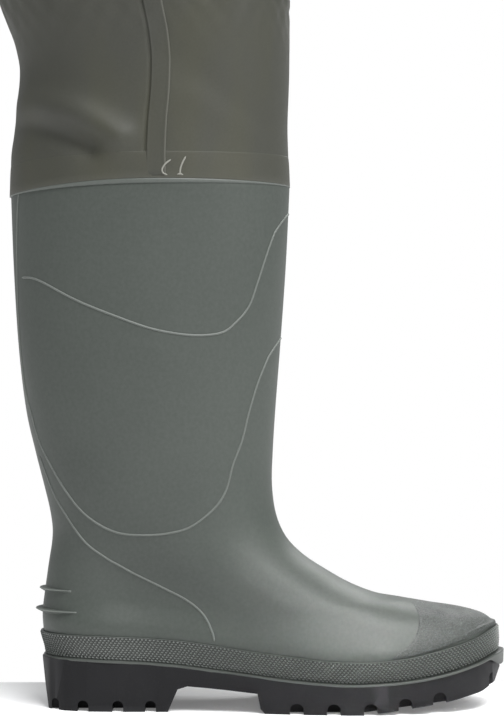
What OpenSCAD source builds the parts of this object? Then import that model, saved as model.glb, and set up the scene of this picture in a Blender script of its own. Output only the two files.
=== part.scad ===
// Chest waders with moulded boots: as worn, standing on the soles.
// The wearer's right is -X, the toes point to -Y and the soles stand on z = 0.

/* [Boots] */
// Distance of each boot's middle plane from the centre plane
stance = 97; // [92:1:104]
// Wall of the moulded boot
boot_wall = 3; // [2.5:0.5:3.5]
// How far the foxing band stands out from the upper
band_out = 2.4; // [2:0.1:3]
// How far the lip under the foxing band stands out from the upper
lip_out = 4; // [3.5:0.1:5]
// Height of the tread notches
lug_h = 7.2; // [4:0.2:8]
// Width of a tread notch under the forefoot
lug_gap = 9; // [6:0.5:10]
// Depth of the tread notches, in from the edge of the sole
lug_reach = 17; // [10:1:20]
// Height of the weld band where the leg is joined to the boot
cuff_h = 18; // [14:1:22]

/* [Garment] */
// Thickness of the coated fabric
fabric = 2; // [1.5:0.5:2.5]
// Height of the crotch
crotch_z = 810; // [795:5:825]
// Height of the waist seam, which the belt covers
waist_z = 1020; // [1010:5:1030]
// Height of the bib's front edge
bib_front_z = 1290; // [1285:5:1300]
// Height of the bib's edge under the arms
bib_side_z = 1150; // [1140:5:1170]
// Height of the bib's back edge
bib_back_z = 1255; // [1250:5:1260]
// Width of a welded overlap seam
seam_w = 13; // [10:1:16]
// Height of the hem at the top edge
hem_h = 24; // [18:1:28]

/* [Straps and buckles] */
// Width of the braces and the belt
strap_w = 38; // [34:1:40]
// Thickness of the braces and the belt
strap_t = 2; // [1.6:0.2:2.2]
// Width of a buckle
buckle_w = 50; // [48:1:54]
// Thickness of a buckle
buckle_t = 12; // [11:0.5:12]

/* [Pocket] */
// Half the width of the chest pocket
pocket_half = 78; // [60:1:80]
// Height of the pocket's lower edge
pocket_z = 1095; // [1080:5:1110]
// Height of the pocket's mouth
mouth_z = 1222; // [1215:1:1224]
// Depth of the pocket's pouch
pocket_deep = 10; // [8:1:11]

/* [Hidden] */
$fn = 48;
gap = 0.2;                 // clearance between bonded pieces
heel_y = 115;              // y of the back of the heel, where f is 0
torso_f = 78;              // middle of the torso, forward of the heel
torso_round = 2.5;         // roundness of the torso's section: 2 is an ellipse
rise_h = 150;              // height over which the two legs join
seam_ahead = 7;            // the side seam and the inseam run this far in front of the leg's middle
rise_gap = 1.4;            // how far the rise seams stand off the creased fabric under them
around = 32;               // points round a boot section
leg_steps = 14;            // columns of a leg panel
bib_steps = 12;            // columns of a quarter of the bib

boot_green = "#5c625c";
band_green = "#50544f";
sole_black = "#2d2d2f";
fabric_olive = "#54554c";
seam_olive = "#4c4d44";
lining_grey = "#8a8a86";
strap_black = "#2a2b2a";
buckle_black = "#1e1f20";
steel = "silver";

// ---- Boot shape ----

// Sections from the sole up: rear f and z, front f and z, half width, share of the foot outline, sag
boot_sections = [
    [2, 36, 304, 36, 50.5, 1, 16.7],
    [0, 52.2, 304.5, 54, 52, 1, 18.5],
    [-0.7, 59.6, 301.5, 57, 51.5, 1, 15.5],
    [-0.7, 65.2, 294, 61.5, 49, 1, 12.5],
    [-0.2, 69.9, 282, 65, 46.5, 1, 9],
    [0.5, 75, 266, 68, 44.5, 1, 6],
    [1.2, 80, 248, 71, 43.5, 0.95, 3.5],
    [2.2, 87, 228, 74.5, 43, 0.85, 1.5],
    [3.2, 94, 208, 81.5, 43, 0.7, 0],
    [4.2, 100.5, 191, 90, 43.5, 0.5, 0],
    [5.5, 109, 175, 100.5, 44.3, 0.3, 0],
    [5.9, 119, 163, 112.5, 45.2, 0.15, 0],
    [4, 132, 156, 128, 46.5, 0.05, 0],
    [0, 148.5, 153.2, 148, 48.3, 0, 0],
    [-5.5, 170, 153.8, 171, 50.5, 0, 0],
    [-12, 199, 155.5, 200, 53.5, 0, 0],
    [-17, 242, 158.8, 243, 56.5, 0, 0],
    [-20.3, 296, 162.3, 298, 59, 0, 0],
    [-22.8, 354, 164.9, 360, 60.5, 0, 0]
];
// Plan of the foot, outer and inner side: place along the length, share of the half width
foot_outer = [
    [0, 0], [0.012, 0.30], [0.055, 0.58], [0.13, 0.70], [0.25, 0.70], [0.40, 0.77],
    [0.55, 0.93], [0.68, 1.0], [0.80, 0.95], [0.90, 0.75], [0.965, 0.44], [1, 0]
];
foot_inner = [
    [0, 0], [0.012, 0.28], [0.055, 0.56], [0.13, 0.68], [0.25, 0.64], [0.40, 0.62],
    [0.55, 0.76], [0.68, 0.96], [0.80, 0.98], [0.90, 0.84], [0.965, 0.54], [1, 0]
];
// How the edge of the sole dips between heel and toe
dip = [[0, 0.1], [0.06, 0.12], [0.14, 0.175], [0.22, 0.255], [0.29, 0.36], [0.37, 0.53], [0.46, 0.72], [0.54, 0.87],
       [0.62, 0.98], [0.68, 1], [0.74, 0.95], [0.8, 0.83], [0.86, 0.64], [0.92, 0.35], [0.97, 0.08], [1, 0]];
sole_len = 309;
sole_top = 35.5;           // height of the outsole's edge at heel and toe
sole_dip = 16.7;

// ---- Garment shape ----

// Leg: height, distance of its middle from the centre plane, middle f, half width, half depth
leg_table = [
    [340, 97, 71, 63.5, 96.8], [366, 97, 71, 63.4, 96.2], [385, 97.3, 71.3, 62.6, 93.8],
    [410, 97.8, 73.6, 63, 91.6], [426, 98.2, 74.2, 64, 91.4], [442, 98.7, 73, 66, 93],
    [458, 99.3, 70.5, 68.5, 95.6], [474, 100, 67.5, 71, 98.6], [500, 101, 64.5, 75, 103],
    [560, 104, 64, 82, 110], [650, 109, 67, 96, 121], [750, 116, 71, 111, 137],
    [810, 120, 74, 120, 147], [1300, 120, 78, 120, 152]
];
// Torso: height, half width, half depth
torso_table = [
    [780, 242, 150], [870, 249, 157], [930, 246, 156], [970, 234, 147], [998, 227, 141],
    [1020, 226, 140], [1052, 229, 142.6], [1110, 240, 149], [1200, 247, 151], [1310, 240, 146]
];
leg_heights = [366, 385, 410, 426, 442, 458, 474, 500, 560, 620, 690, 760, 795,
               crotch_z, 820, 836, 858, 890, 930, 970, 998, waist_z];
// Lower edge of the leg round the boot, from the inseam by the back to the front
cuff_edge = [[0, 347.6], [0.25, 342], [0.5, 347.6], [0.75, 348.7], [1, 347.6]];
// Top edge of the bib, from the back middle (0) to the front middle (1)
bib_edge = [
    [0, bib_back_z], [0.12, bib_back_z], [0.2, bib_back_z - 12], [0.3, bib_back_z - 45],
    [0.4, bib_side_z + 18], [0.48, bib_side_z], [0.55, bib_side_z + 8], [0.64, bib_side_z + 50],
    [0.73, bib_front_z - 32], [0.82, bib_front_z], [1, bib_front_z]
];
brace_x = 112;             // where a brace meets the bib's front edge
brace_f = 224;             // middle plane of the brace buckles
brace_turn = -12;          // turn of the brace buckles about the vertical
mouth_of_buckle = 1344;    // height where a brace buckle parts
adjuster_z = 1392;
bar_r = 2;                 // bars that the webbing goes round
bar_drop = 39;             // bar of the socket, below the mouth
bar_rise = 14;             // bar of the tongue, above the mouth
loop_y = 3.4;              // half the distance between the two layers of a strap
layer_dx = loop_y * sin(brace_turn);
layer_df = loop_y * cos(brace_turn);
// Right brace, from the sewn end of its loop, round the buckle, over the shoulder to the back:
// x, f, z, turn of the strap about the vertical
brace_route = [
    [-brace_x + layer_dx, brace_f + layer_df, 1400, brace_turn],
    [-brace_x + layer_dx, brace_f + layer_df, 1384, brace_turn],
    [-brace_x + layer_dx, brace_f + layer_df, 1366, brace_turn],
    [-brace_x + layer_dx * 0.9, brace_f + layer_df * 0.9, 1357, brace_turn],
    [-brace_x, brace_f, 1353.6, brace_turn],
    [-brace_x - layer_dx * 0.9, brace_f - layer_df * 0.9, 1357, brace_turn],
    [-brace_x - layer_dx, brace_f - layer_df, 1366, brace_turn],
    [-brace_x - layer_dx, brace_f - layer_df, 1410, brace_turn],
    [-brace_x - layer_dx, brace_f - layer_df, 1452, brace_turn],
    [-112, 212, 1480, -10], [-112, 188, 1499, -6], [-111, 148, 1506, 0], [-106, 100, 1502, 0],
    [-97, 50, 1487, 2], [-83, 8, 1454, 6], [-65, -26, 1406, 8], [-48, -52, 1348, 6],
    [-36, -70, 1290, 4], [-30, -75.8, 1258, 2], [-27, -77, 1235, 0], [-26, -77.2, 1200, 0]
];

belt_f = 227;              // middle plane of the belt buckle
belt_mouth = 12;           // x where the belt buckle parts
belt_a = 231.5;
belt_b = belt_f - loop_y - torso_f;
belt_round = 2.7;
slider_x = 74;
loop_spots = [[150, 1], [150, -1]];   // x of the belt loops, and 1 for the front or -1 for the back

spur_z = [77, 62.5];       // heights of the kick-off spurs

// ---- Helpers ----

function pt(x, f, z) = [x, heel_y - f, z];
function mix(a, b, t) = a + (b - a) * t;
function column(table, z, j) = lookup(z, [for (r = table) [r[0], r[j]]]);
function catmull(a, b, c, d, t) =
    (2 * b + (c - a) * t + (2 * a - 5 * b + 4 * c - d) * t * t + (3 * b - a - 3 * c + d) * t * t * t) / 2;
function spline(points, u) =
    let (n = len(points) - 1, k = min(floor(u * n), n - 1))
    catmull(points[max(k - 1, 0)], points[k], points[k + 1], points[min(k + 2, n)], u * n - k);
function power(v, e) = sign(v) * pow(abs(v), e);
function unit(v) = v / norm(v);
function quad(a, b, c, d) = [[a, b, c], [a, c, d]];

// Closed solid between two grids of points; wrap joins its last column to its first
module slab(outer, inner, wrap = false) {
    rows = len(outer);
    cols = len(outer[0]);
    function at(r, c, side) = (side * rows + r) * cols + c % cols;
    last = wrap ? cols - 1 : cols - 2;
    walls = [for (r = [0 : rows - 2], c = [0 : last]) each concat(
        quad(at(r, c, 0), at(r + 1, c, 0), at(r + 1, c + 1, 0), at(r, c + 1, 0)),
        quad(at(r, c, 1), at(r, c + 1, 1), at(r + 1, c + 1, 1), at(r + 1, c, 1)))];
    rims = [for (c = [0 : last]) each concat(
        quad(at(0, c, 0), at(0, c + 1, 0), at(0, c + 1, 1), at(0, c, 1)),
        quad(at(rows - 1, c, 1), at(rows - 1, c + 1, 1), at(rows - 1, c + 1, 0), at(rows - 1, c, 0)))];
    ends = wrap ? [] : [for (r = [0 : rows - 2]) each concat(
        quad(at(r, 0, 0), at(r, 0, 1), at(r + 1, 0, 1), at(r + 1, 0, 0)),
        quad(at(r, cols - 1, 1), at(r, cols - 1, 0), at(r + 1, cols - 1, 0), at(r + 1, cols - 1, 1)))];
    polyhedron([for (r = outer) each r, for (r = inner) each r], concat(walls, rims, ends));
}

module right() translate([-stance, 0, 0]) children();
module left() mirror([1, 0, 0]) right() children();
module other_side() mirror([1, 0, 0]) children();

// Extrudes a side view, drawn as f and z, across x from -w to w
module across(w) translate([0, heel_y, 0]) rotate([90, 0, -90]) linear_extrude(2 * w, center = true) children();

// ---- Boot pieces, drawn about the boot's own middle plane ----

function plan(foot, side, u) =
    mix([(1 - cos(180 * u)) / 2, sin(180 * u)], spline(side < 0 ? foot_outer : foot_inner, u), foot);
function section_point(s, side, u, d) =
    let (p = plan(s[5], side, u), t = p[0])
    pt(side * p[1] * (s[4] + d), mix(s[0] - d, s[2] + d, t), mix(s[1], s[3], t) - s[6] * lookup(t, dip));
// A ring from the heel by the outer side to the toe and back by the inner side
function ring(s, d) = [for (i = [0 : around - 1])
    let (side = i < around / 2 ? -1 : 1, u = 2 * i / around)
    section_point(s, side, side < 0 ? u : 2 - u, d)];
function edge_z(f) = -sole_dip * lookup(f / sole_len, dip);
function tread_z(f) = lookup(f, [[0, 0], [215, 0], [229, 2], [251, 5], [272, 8], [294, 12.5], [309, 20]]);
function flat(points) = [for (p = points) [p[0], p[1]]];

module boot_upper() color(boot_green)
    slab([for (s = boot_sections) ring(s, 0)], [for (s = boot_sections) ring(s, -boot_wall)], true);

module boot_lining() color(lining_grey) {
    rows = [for (k = [2 : len(boot_sections) - 2]) boot_sections[k]];
    slab([for (s = rows) ring(s, -boot_wall - 0.3)], [for (s = rows) ring(s, -boot_wall - 1.5)], true);
}

module foxing_band() color(band_green) {
    low = boot_sections[0];
    high = boot_sections[1];
    // Up the band: share of its height, distance out
    profile = [[0.02, lip_out], [0.2, lip_out], [0.3, band_out - 0.6], [0.85, band_out - 0.6], [0.9, band_out], [1, band_out]];
    slab([for (p = profile) ring(mix(low, high, p[0]), p[1])], [for (p = profile) ring(mix(low, high, p[0]), gap)], true);
}

module toe_cap() {
    // For each row from the band up: section, and share of its length where the cap starts
    starts = [[1.15, 0.79], [2, 0.805], [3, 0.83], [4, 0.87], [5, 0.925], [5.8, 0.975]];
    steps = 10;
    function u_at(t) = lookup(t, [for (i = [0 : 40]) [spline(foot_outer, i / 40)[0], i / 40]]);
    function row(p, d) =
        let (s = mix(boot_sections[floor(p[0])], boot_sections[ceil(p[0])], p[0] - floor(p[0])), u0 = u_at(p[1]))
        [for (i = [-steps : steps]) section_point(s, i < 0 ? -1 : 1, mix(1, u0, abs(i / steps)), d) + [0, 0, 0.6 * d]];
    color(band_green) slab([for (p = starts) row(p, 1.6)], [for (p = starts) row(p, 0.7)]);
}

module heel_spurs() {
    reach = 34;
    function rear(z, d) = let (s = column(boot_sections_by_z, z, 1)) s - d;
    color(boot_green) for (z = spur_z) translate([0, 0, z - 1.5]) linear_extrude(3) difference() {
        polygon(flat([for (i = [-6 : 6]) spur_point(z, i / 6 * reach, 4.6 - 4 * pow(abs(i / 6), 2))]));
        polygon(flat(concat([for (i = [-7 : 7]) spur_point(z, i / 6 * reach, 0.35)],
                            [pt(45, 80, 0), pt(-45, 80, 0)])));
    }
}
// The heel's outline at a height, as x and a distance outside it
boot_sections_by_z = [for (s = boot_sections) [s[1], s[0], s[4]]];
function spur_point(z, x, out) =
    let (w = 0.7 * column(boot_sections_by_z, z, 2), rear = column(boot_sections_by_z, z, 1))
    pt(x * (1 + out / 40), rear + w - sqrt(max(0, w * w - x * x)) - out, 0);

module cuff_band() {
    shares = [for (i = [0 : 2 * leg_steps - 1]) i / (2 * leg_steps)];
    function row(up, d) = [for (s = shares) leg_point(s, lookup(s, cuff_edge) + up, d)];
    color(seam_olive) translate([stance, 0, 0]) slab([for (up = [0, cuff_h]) row(up, 1.2)], [for (up = [0, cuff_h]) row(up, gap)], true);
}

module outsole() color(sole_black) {
    // f, width, distance of the sole's edge from its middle
    notches = concat([[10, 5, 38], [301, 5, 30]], [for (f = [29, 52, 73.5]) [f, 7.3, 38]],
                     [for (f = [169.7, 193.8, 217.9, 240.5, 263.3, 283.3]) [f, lug_gap, 56]]);
    top = [for (i = [0 : 30]) [i / 30 * sole_len, sole_top + edge_z(i / 30 * sole_len)]];
    bottom = [[308, 26], [303, 17], [294, 12.5], [272, 8], [251, 5], [229, 2], [215, 0], [149, 0], [146, 3],
              [144, 13], [123, 15], [98, 17], [91.5, 15], [85, 0], [5, 0], [2.5, 15]];
    difference() {
        intersection() {
            linear_extrude(50) polygon(flat(ring(boot_sections[0], lip_out - 0.5)));
            across(80) polygon(concat(top, bottom));
        }
        for (side = [-1, 1]) for (n = notches) notch(side, n[0], n[1], n[2]);
        // Grooves between the rows of lugs
        for (f = [181, 205, 229, 252]) translate([0, heel_y - f, tread_z(f) + 1]) cube([50, 5, 8], center = true);
        for (f = [40, 63]) translate([0, heel_y - f, 0]) cube([34, 5, 9], center = true);
    }
}
// A tread notch open to the side and below, with a rounded roof
module notch(side, f, w, half) {
    z = tread_z(f);
    reach = f > 270 ? lug_reach - 3 : lug_reach;
    x0 = half - reach;
    translate([side * x0, heel_y - f, z + lug_h - w / 2])
        mirror([side < 0 ? 1 : 0, 0, 0])
            rotate([0, 90, 0]) {
                cylinder(d = w, h = 60);
                translate([0, -w / 2, 0]) cube([40, w, 60]);
            }
}

module insole() color(lining_grey) {
    places = [for (i = [0 : 16]) mix(4, 300, i / 16)];
    intersection() {
        linear_extrude(50) polygon(flat(ring(boot_sections[0], -boot_wall - 2.5)));
        across(60) polygon(concat([for (f = places) [f, sole_top + 0.5 + edge_z(f)]],
                                  [for (i = [16 : -1 : 0]) [places[i], sole_top + 5 + edge_z(places[i])]]));
    }
}

// ---- Garment pieces ----

// A point of the right half: s runs from the back or inseam (0) by the outer side to the front (1)
function leg_point(s, z, d) =
    let (mid = column(leg_table, z, 1), f = column(leg_table, z, 2),
         a = column(leg_table, z, 3) + d, b = column(leg_table, z, 4) + d,
         ta = column(torso_table, z, 1) + d, tb = column(torso_table, z, 2) + d,
         join = z <= crotch_z ? 0 : sin(90 * min(1, (z - crotch_z) / rise_h)),
         leg = [mid - a * cos(360 * s), f - b * sin(360 * s)],
         e = 2 / torso_round,
         torso = [ta * power(sin(180 * s), e), torso_f - tb * power(cos(180 * s), e)],
         p = mix(leg, torso, join))
    pt(-p[0], p[1], z);
function mirrored(p) = [-p[0], p[1], p[2]];

module leg_panel(from, to) {
    steps = leg_steps;
    function row(z, d) = [for (i = [0 : steps]) leg_point(mix(from, to, i / steps), z, d)];
    function foot_row(d) = [for (i = [0 : steps])
        let (s = mix(from, to, i / steps)) leg_point(s, lookup(s, cuff_edge), d)];
    color(fabric_olive) slab(concat([foot_row(0)], [for (z = leg_heights) row(z, 0)]),
         concat([foot_row(-fabric)], [for (z = leg_heights) row(z, -fabric)]));
}

// Columns of a bib panel: the right half's shares, then the left half's, as [mirror, share]
function bib_point(c, z, d) = let (p = leg_point(c[1], z, d)) c[0] > 0 ? mirrored(p) : p;
front_cols = [for (i = [-bib_steps : bib_steps]) [i > 0 ? 1 : 0, 1 - abs(i) / bib_steps / 2]];
back_cols = [for (i = [-bib_steps : bib_steps]) [i < 0 ? 1 : 0, abs(i) / bib_steps / 2]];
yoke_cols = [for (i = [-1 : 1]) [i < 0 ? 1 : 0, abs(i) / bib_steps / 2]];

module bib_panel(cols) {
    heights = [0, 0.12, 0.3, 0.5, 0.7, 0.85, 1];
    function row(h, d) = [for (c = cols) bib_point(c, mix(waist_z, lookup(c[1], bib_edge), h), d)];
    color(fabric_olive) slab([for (h = heights) row(h, 0)], [for (h = heights) row(h, -fabric)]);
}

module top_hem() {
    last = 2 * bib_steps;
    cols = concat([for (i = [0 : last - 1]) [0, i / last]], [for (i = [last : -1 : 1]) [1, i / last]]);
    function row(up, d) = [for (c = cols) bib_point(c, lookup(c[1], bib_edge) - up, d)];
    color(seam_olive) slab([for (up = [hem_h, 0]) row(up, 1.6)], [for (up = [hem_h, 0]) row(up, 0.4)], true);
}

// A welded seam down the outer (out = 1) or inner (out = -1) side of a leg
module leg_seam(out, heights) {
    function row(z, d) =
        let (x = column(leg_table, z, 1) + out * (column(leg_table, z, 3) + d), f = column(leg_table, z, 2) + seam_ahead)
        [for (side = [1, -1]) pt(-x, f - out * side * seam_w / 2, z)];
    color(seam_olive) slab([for (z = heights) row(z, 1.5)], [for (z = heights) row(z, 0.4)]);
}

// A welded seam up the middle of the front (way = 1) or back (way = 0), between the two legs
module rise_seam(way) {
    heights = [for (z = leg_heights) if (z > crotch_z + rise_h / 2 && z < waist_z - strap_w) z];
    step = (way > 0 ? -1 : 1) / (2 * leg_steps);
    outward = way > 0 ? -1 : 1;
    function row(z, d) =
        let (middle = leg_point(way, z, 0), next = leg_point(way + step, z, 0),
             side = mix(middle, next, seam_w / 2 / abs(next[0])),
             strip = way > 0 ? [side, middle, mirrored(side)] : [mirrored(side), middle, side])
        [for (p = strip) p + [0, outward * d, 0]];
    color(seam_olive) slab([for (z = heights) row(z, rise_gap + 1.2)], [for (z = heights) row(z, rise_gap)]);
}

module back_yoke() {
    function row(z, d) = [for (c = yoke_cols) bib_point(c, z, d)];
    color(seam_olive) slab([for (z = [1178, 1205, 1229]) row(z, 1.8)], [for (z = [1178, 1205, 1229]) row(z, 0.4)]);
}

// ---- Pocket ----

// Front surface of the torso at x, as f
function front_f(x, z) =
    let (a = column(torso_table, z, 1), b = column(torso_table, z, 2))
    torso_f + b * pow(1 - pow(abs(x) / a, torso_round), 1 / torso_round);
function edge_rise(v) = v <= 0 ? 0 : v >= 1 ? 1 : sin(90 * v);

module chest_pocket() {
    spread = [-1, -0.97, -0.9, -0.7, -0.35, 0, 0.35, 0.7, 0.9, 0.97, 1];
    lifts = [0, 4, 12, 40, 80, mouth_z - pocket_z];
    function grid(d) = [for (up = lifts) [for (s = spread)
        let (x = s * pocket_half, z = pocket_z + up,
             swell = edge_rise((1 - abs(s)) * pocket_half / 9) * edge_rise(up / 12))
        pt(x, front_f(x, z) + d + pocket_deep * swell, z)]];
    color(fabric_olive) slab(grid(1.9), grid(0.4));
}

flap_top = mouth_z + 13;
flap_drop = 58;
flap_half = pocket_half + 5;
module pocket_flap() {
    rows = [[flap_drop, 4.2], [30, 3.8], [18, 3], [10, 1.5], [4, -3.5], [0, -9.2]];
    function grid(d) = [for (r = rows) [for (s = [-1, -0.75, -0.4, 0, 0.4, 0.75, 1])
        let (x = s * flap_half, z = flap_top - r[0])
        pt(x, front_f(x, z) + pocket_deep + r[1] + d, z)]];
    color(fabric_olive) slab(grid(1.5), grid(0));
}

stud_z = flap_top - flap_drop + 16;
module pocket_stud() color(steel)
    translate(pt(0, front_f(0, stud_z) + pocket_deep + 2.1, stud_z)) rotate([90, 0, 0]) cylinder(r = 5, h = 1.6);
module flap_snap() color(steel)
    translate(pt(0, front_f(0, stud_z) + pocket_deep + 5.9, stud_z)) rotate([90, 0, 0]) difference() {
        cylinder(r = 7, h = 2);
        translate([0, 0, 1.4]) cylinder(r = 4, h = 2);
    }

// ---- Buckles: the mouth is at z = 0, the strap runs along z, the front faces -y ----

module rounded_box(w, h, t, r) rotate([90, 0, 0]) linear_extrude(t, center = true) {
    square([w - 2 * r, h], center = true);
    square([w, h - 2 * r], center = true);
    for (x = [-1, 1], z = [-1, 1]) translate([x * (w / 2 - r), z * (h / 2 - r)]) circle(r);
}

cheek = 4.6;               // width of the arms that carry a bar
module bar_frame(z, reach) {
    // Two arms, from a body to the bar at z
    for (side = [-1, 1]) translate([side * (buckle_w / 2 - cheek / 2 - 1), 0, z + reach / 2])
        cube([cheek, 6, abs(reach) + 3], center = true);
    translate([0, 0, z]) rotate([0, 90, 0]) cylinder(r = bar_r, h = buckle_w - 2 - cheek, center = true);
}

module buckle_socket() color(buckle_black) {
    difference() {
        translate([0, 0, -14]) rounded_box(buckle_w, 28, buckle_t, 4);
        translate([0, 0, -12]) cube([buckle_w - 7, 7.4, 26], center = true);
        for (side = [-1, 1]) translate([side * buckle_w / 2, 0, -15]) cube([8, buckle_t + 1, 13], center = true);
        translate([0, -buckle_t / 2, -3]) rotate([90, 0, 0]) cylinder(r = 7, h = 6, center = true);
    }
    bar_frame(-bar_drop, 12);
}

module buckle_tongue() color(buckle_black) {
    translate([0, 0, 4.6]) rounded_box(buckle_w - 2, 8, 9, 3);
    bar_frame(bar_rise, -6);
    for (side = [-1, 1]) {
        translate([side * 15, 0, -10]) cube([4, 5, 22], center = true);
        translate([side * 16.8, 0, -17.5]) cube([6, 5, 9], center = true);
    }
    translate([0, 0, -6]) cube([6, 5, 14], center = true);
}

module strap_slider(h) color(buckle_black) {
    difference() {
        rounded_box(buckle_w, h, 13, 3);
        cube([strap_w + 3, 9.6, h + 2], center = true);
    }
    translate([0, 0, -h / 2 + 4]) rotate([0, 90, 0]) cylinder(r = bar_r, h = strap_w + 4, center = true);
}

module at_brace(z) translate(pt(-brace_x, brace_f, z)) rotate([0, 0, brace_turn]) children();
module at_belt(x) translate(pt(x, belt_f, waist_z)) rotate([0, 90, 0]) children();

// Flat strip of thickness t along a path
function strip(path, t) =
    let (n = len(path) - 1,
         side = [for (i = [0 : n]) let (v = unit(path[min(i + 1, n)] - path[max(i - 1, 0)])) [-v[1], v[0]] * t / 2])
    concat([for (i = [0 : n]) path[i] + side[i]], [for (i = [n : -1 : 0]) path[i] - side[i]]);

module buckle_tab() color(strap_black) {
    // Behind the bar, over it, and down again in front, as y and z
    path = [[4.2, 1233], [4.2, 1289], [3.8, 1299], [3, 1307], [0, 1309.6], [-3, 1307.6], [-3.6, 1303], [-2.4, 1297],
            [1.2, 1289], [2.2, 1284], [2.2, 1233]];
    at_brace(0) rotate([90, 0, 90]) linear_extrude(strap_w, center = true) polygon(strip(path, 1.6));
}

module brace() {
    steps = 60;
    n = len(brace_route) - 1;
    route = [for (i = [0 : steps]) spline(brace_route, i / steps)];
    function place(r) = pt(r[0], r[1], r[2]);
    function frame_at(i) =
        let (way = unit(place(route[min(i + 1, steps)]) - place(route[max(i - 1, 0)])),
             flat_way = [cos(route[i][3]), sin(route[i][3]), 0],
             w = unit(flat_way - way * (flat_way * way)))
        [place(route[i]), w, cross(way, w)];
    frames = [for (i = [0 : steps]) frame_at(i)];
    function row(q, n) = [for (x = [-1, 1]) q[0] + q[1] * x * strap_w / 2 + q[2] * n * strap_t / 2];
    color(strap_black) slab([for (q = frames) row(q, -1)], [for (q = frames) row(q, 1)]);
}

module wading_belt() color(strap_black) {
    e = 2 / belt_round;
    wrap = [for (a = [28 : 8 : 332]) [belt_a * power(sin(a), e), torso_f + belt_b * power(cos(a), e)]];
    tongue_bar = belt_mouth + bar_rise;
    socket_bar = belt_mouth - bar_drop;
    route = concat(
        [for (x = [96, 60, tongue_bar + 6]) [x, belt_f + loop_y]],
        [[tongue_bar - 1, belt_f + loop_y], [tongue_bar - 4, belt_f + 1.6], [tongue_bar - 4, belt_f - 1.6],
         [tongue_bar - 1, belt_f - loop_y]],
        [for (x = [tongue_bar + 6, 90]) [x, belt_f - loop_y]],
        wrap,
        [for (x = [-90, socket_bar - 6]) [x, belt_f - loop_y]],
        [[socket_bar + 1, belt_f - loop_y], [socket_bar + 4, belt_f - 1.6], [socket_bar + 4, belt_f + 1.6],
         [socket_bar + 1, belt_f + loop_y]],
        [for (x = [socket_bar - 6, -60]) [x, belt_f + loop_y]]);
    translate([0, heel_y, waist_z - strap_w / 2]) mirror([0, 1, 0])
        linear_extrude(strap_w) polygon(strip(route, strap_t));
}

module belt_loops() color(fabric_olive) {
    half = strap_w / 2;
    // Off the fabric, then out over the belt and back, as distance out and height
    path = [[4.4, -half - 14], [4.4, -half - 5], [6.5, -half - 2.5], [13, -half - 1], [14, 0], [13, half + 1],
            [6.5, half + 2.5], [4.4, half + 5], [4.4, half + 14]];
    for (spot = loop_spots, side = [-1, 1]) {
        x = spot[0];
        f = front_f(x, waist_z) - torso_f;
        u = pow(x / column(torso_table, waist_z, 1), torso_round - 1);
        v = pow(f / column(torso_table, waist_z, 2), torso_round - 1);
        turn = atan2(u / column(torso_table, waist_z, 1), v / column(torso_table, waist_z, 2));
        translate(pt(side * x, torso_f + spot[1] * f, waist_z))
            rotate([0, 0, side * spot[1] * turn + (spot[1] > 0 ? 0 : 180)])
            rotate([90, 0, -90]) linear_extrude(16, center = true) polygon(strip(path, 1.2));
    }
}

// ---- The assembly ----

right() outsole();  // right_outsole
right() insole();  // right_insole
right() foxing_band();  // right_foxing_band
right() boot_upper();  // right_boot_upper
right() toe_cap();  // right_toe_cap
right() heel_spurs();  // right_heel_spurs
right() boot_lining();  // right_boot_lining
right() cuff_band();  // right_cuff_band
leg_panel(0.5, 1);  // right_leg_front
leg_panel(0, 0.5);  // right_leg_back
/* right_side_seam */ leg_seam(1, [for (z = leg_heights) if (z < crotch_z) z]);
/* right_inseam */ leg_seam(-1, [for (z = leg_heights) if (z < 700) z]);
brace();  // right_brace
at_brace(adjuster_z) strap_slider(26);  // right_brace_adjuster
at_brace(mouth_of_buckle) buckle_tongue();  // right_buckle_tongue
at_brace(mouth_of_buckle) buckle_socket();  // right_buckle_socket
buckle_tab();  // right_buckle_tab
left() outsole();  // left_outsole
left() insole();  // left_insole
left() foxing_band();  // left_foxing_band
left() boot_upper();  // left_boot_upper
left() toe_cap();  // left_toe_cap
left() heel_spurs();  // left_heel_spurs
left() boot_lining();  // left_boot_lining
left() cuff_band();  // left_cuff_band
other_side() leg_panel(0.5, 1);  // left_leg_front
other_side() leg_panel(0, 0.5);  // left_leg_back
/* left_side_seam */ other_side() leg_seam(1, [for (z = leg_heights) if (z < crotch_z) z]);
/* left_inseam */ other_side() leg_seam(-1, [for (z = leg_heights) if (z < 700) z]);
other_side() brace();  // left_brace
other_side() at_brace(adjuster_z) strap_slider(26);  // left_brace_adjuster
other_side() at_brace(mouth_of_buckle) buckle_tongue();  // left_buckle_tongue
other_side() at_brace(mouth_of_buckle) buckle_socket();  // left_buckle_socket
other_side() buckle_tab();  // left_buckle_tab
bib_panel(front_cols);  // bib_front
bib_panel(back_cols);  // bib_back
rise_seam(1);  // front_rise_seam
rise_seam(0);  // back_rise_seam
top_hem();
back_yoke();
chest_pocket();
pocket_flap();
pocket_stud();
flap_snap();
wading_belt();
belt_loops();
at_belt(belt_mouth) buckle_socket();  // belt_buckle_socket
at_belt(belt_mouth) buckle_tongue();  // belt_buckle_tongue
at_belt(slider_x) strap_slider(26);  // belt_slider
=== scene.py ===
import math

import bpy
import numpy as np
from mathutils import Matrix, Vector, noise
from mathutils.bvhtree import BVHTree


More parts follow.
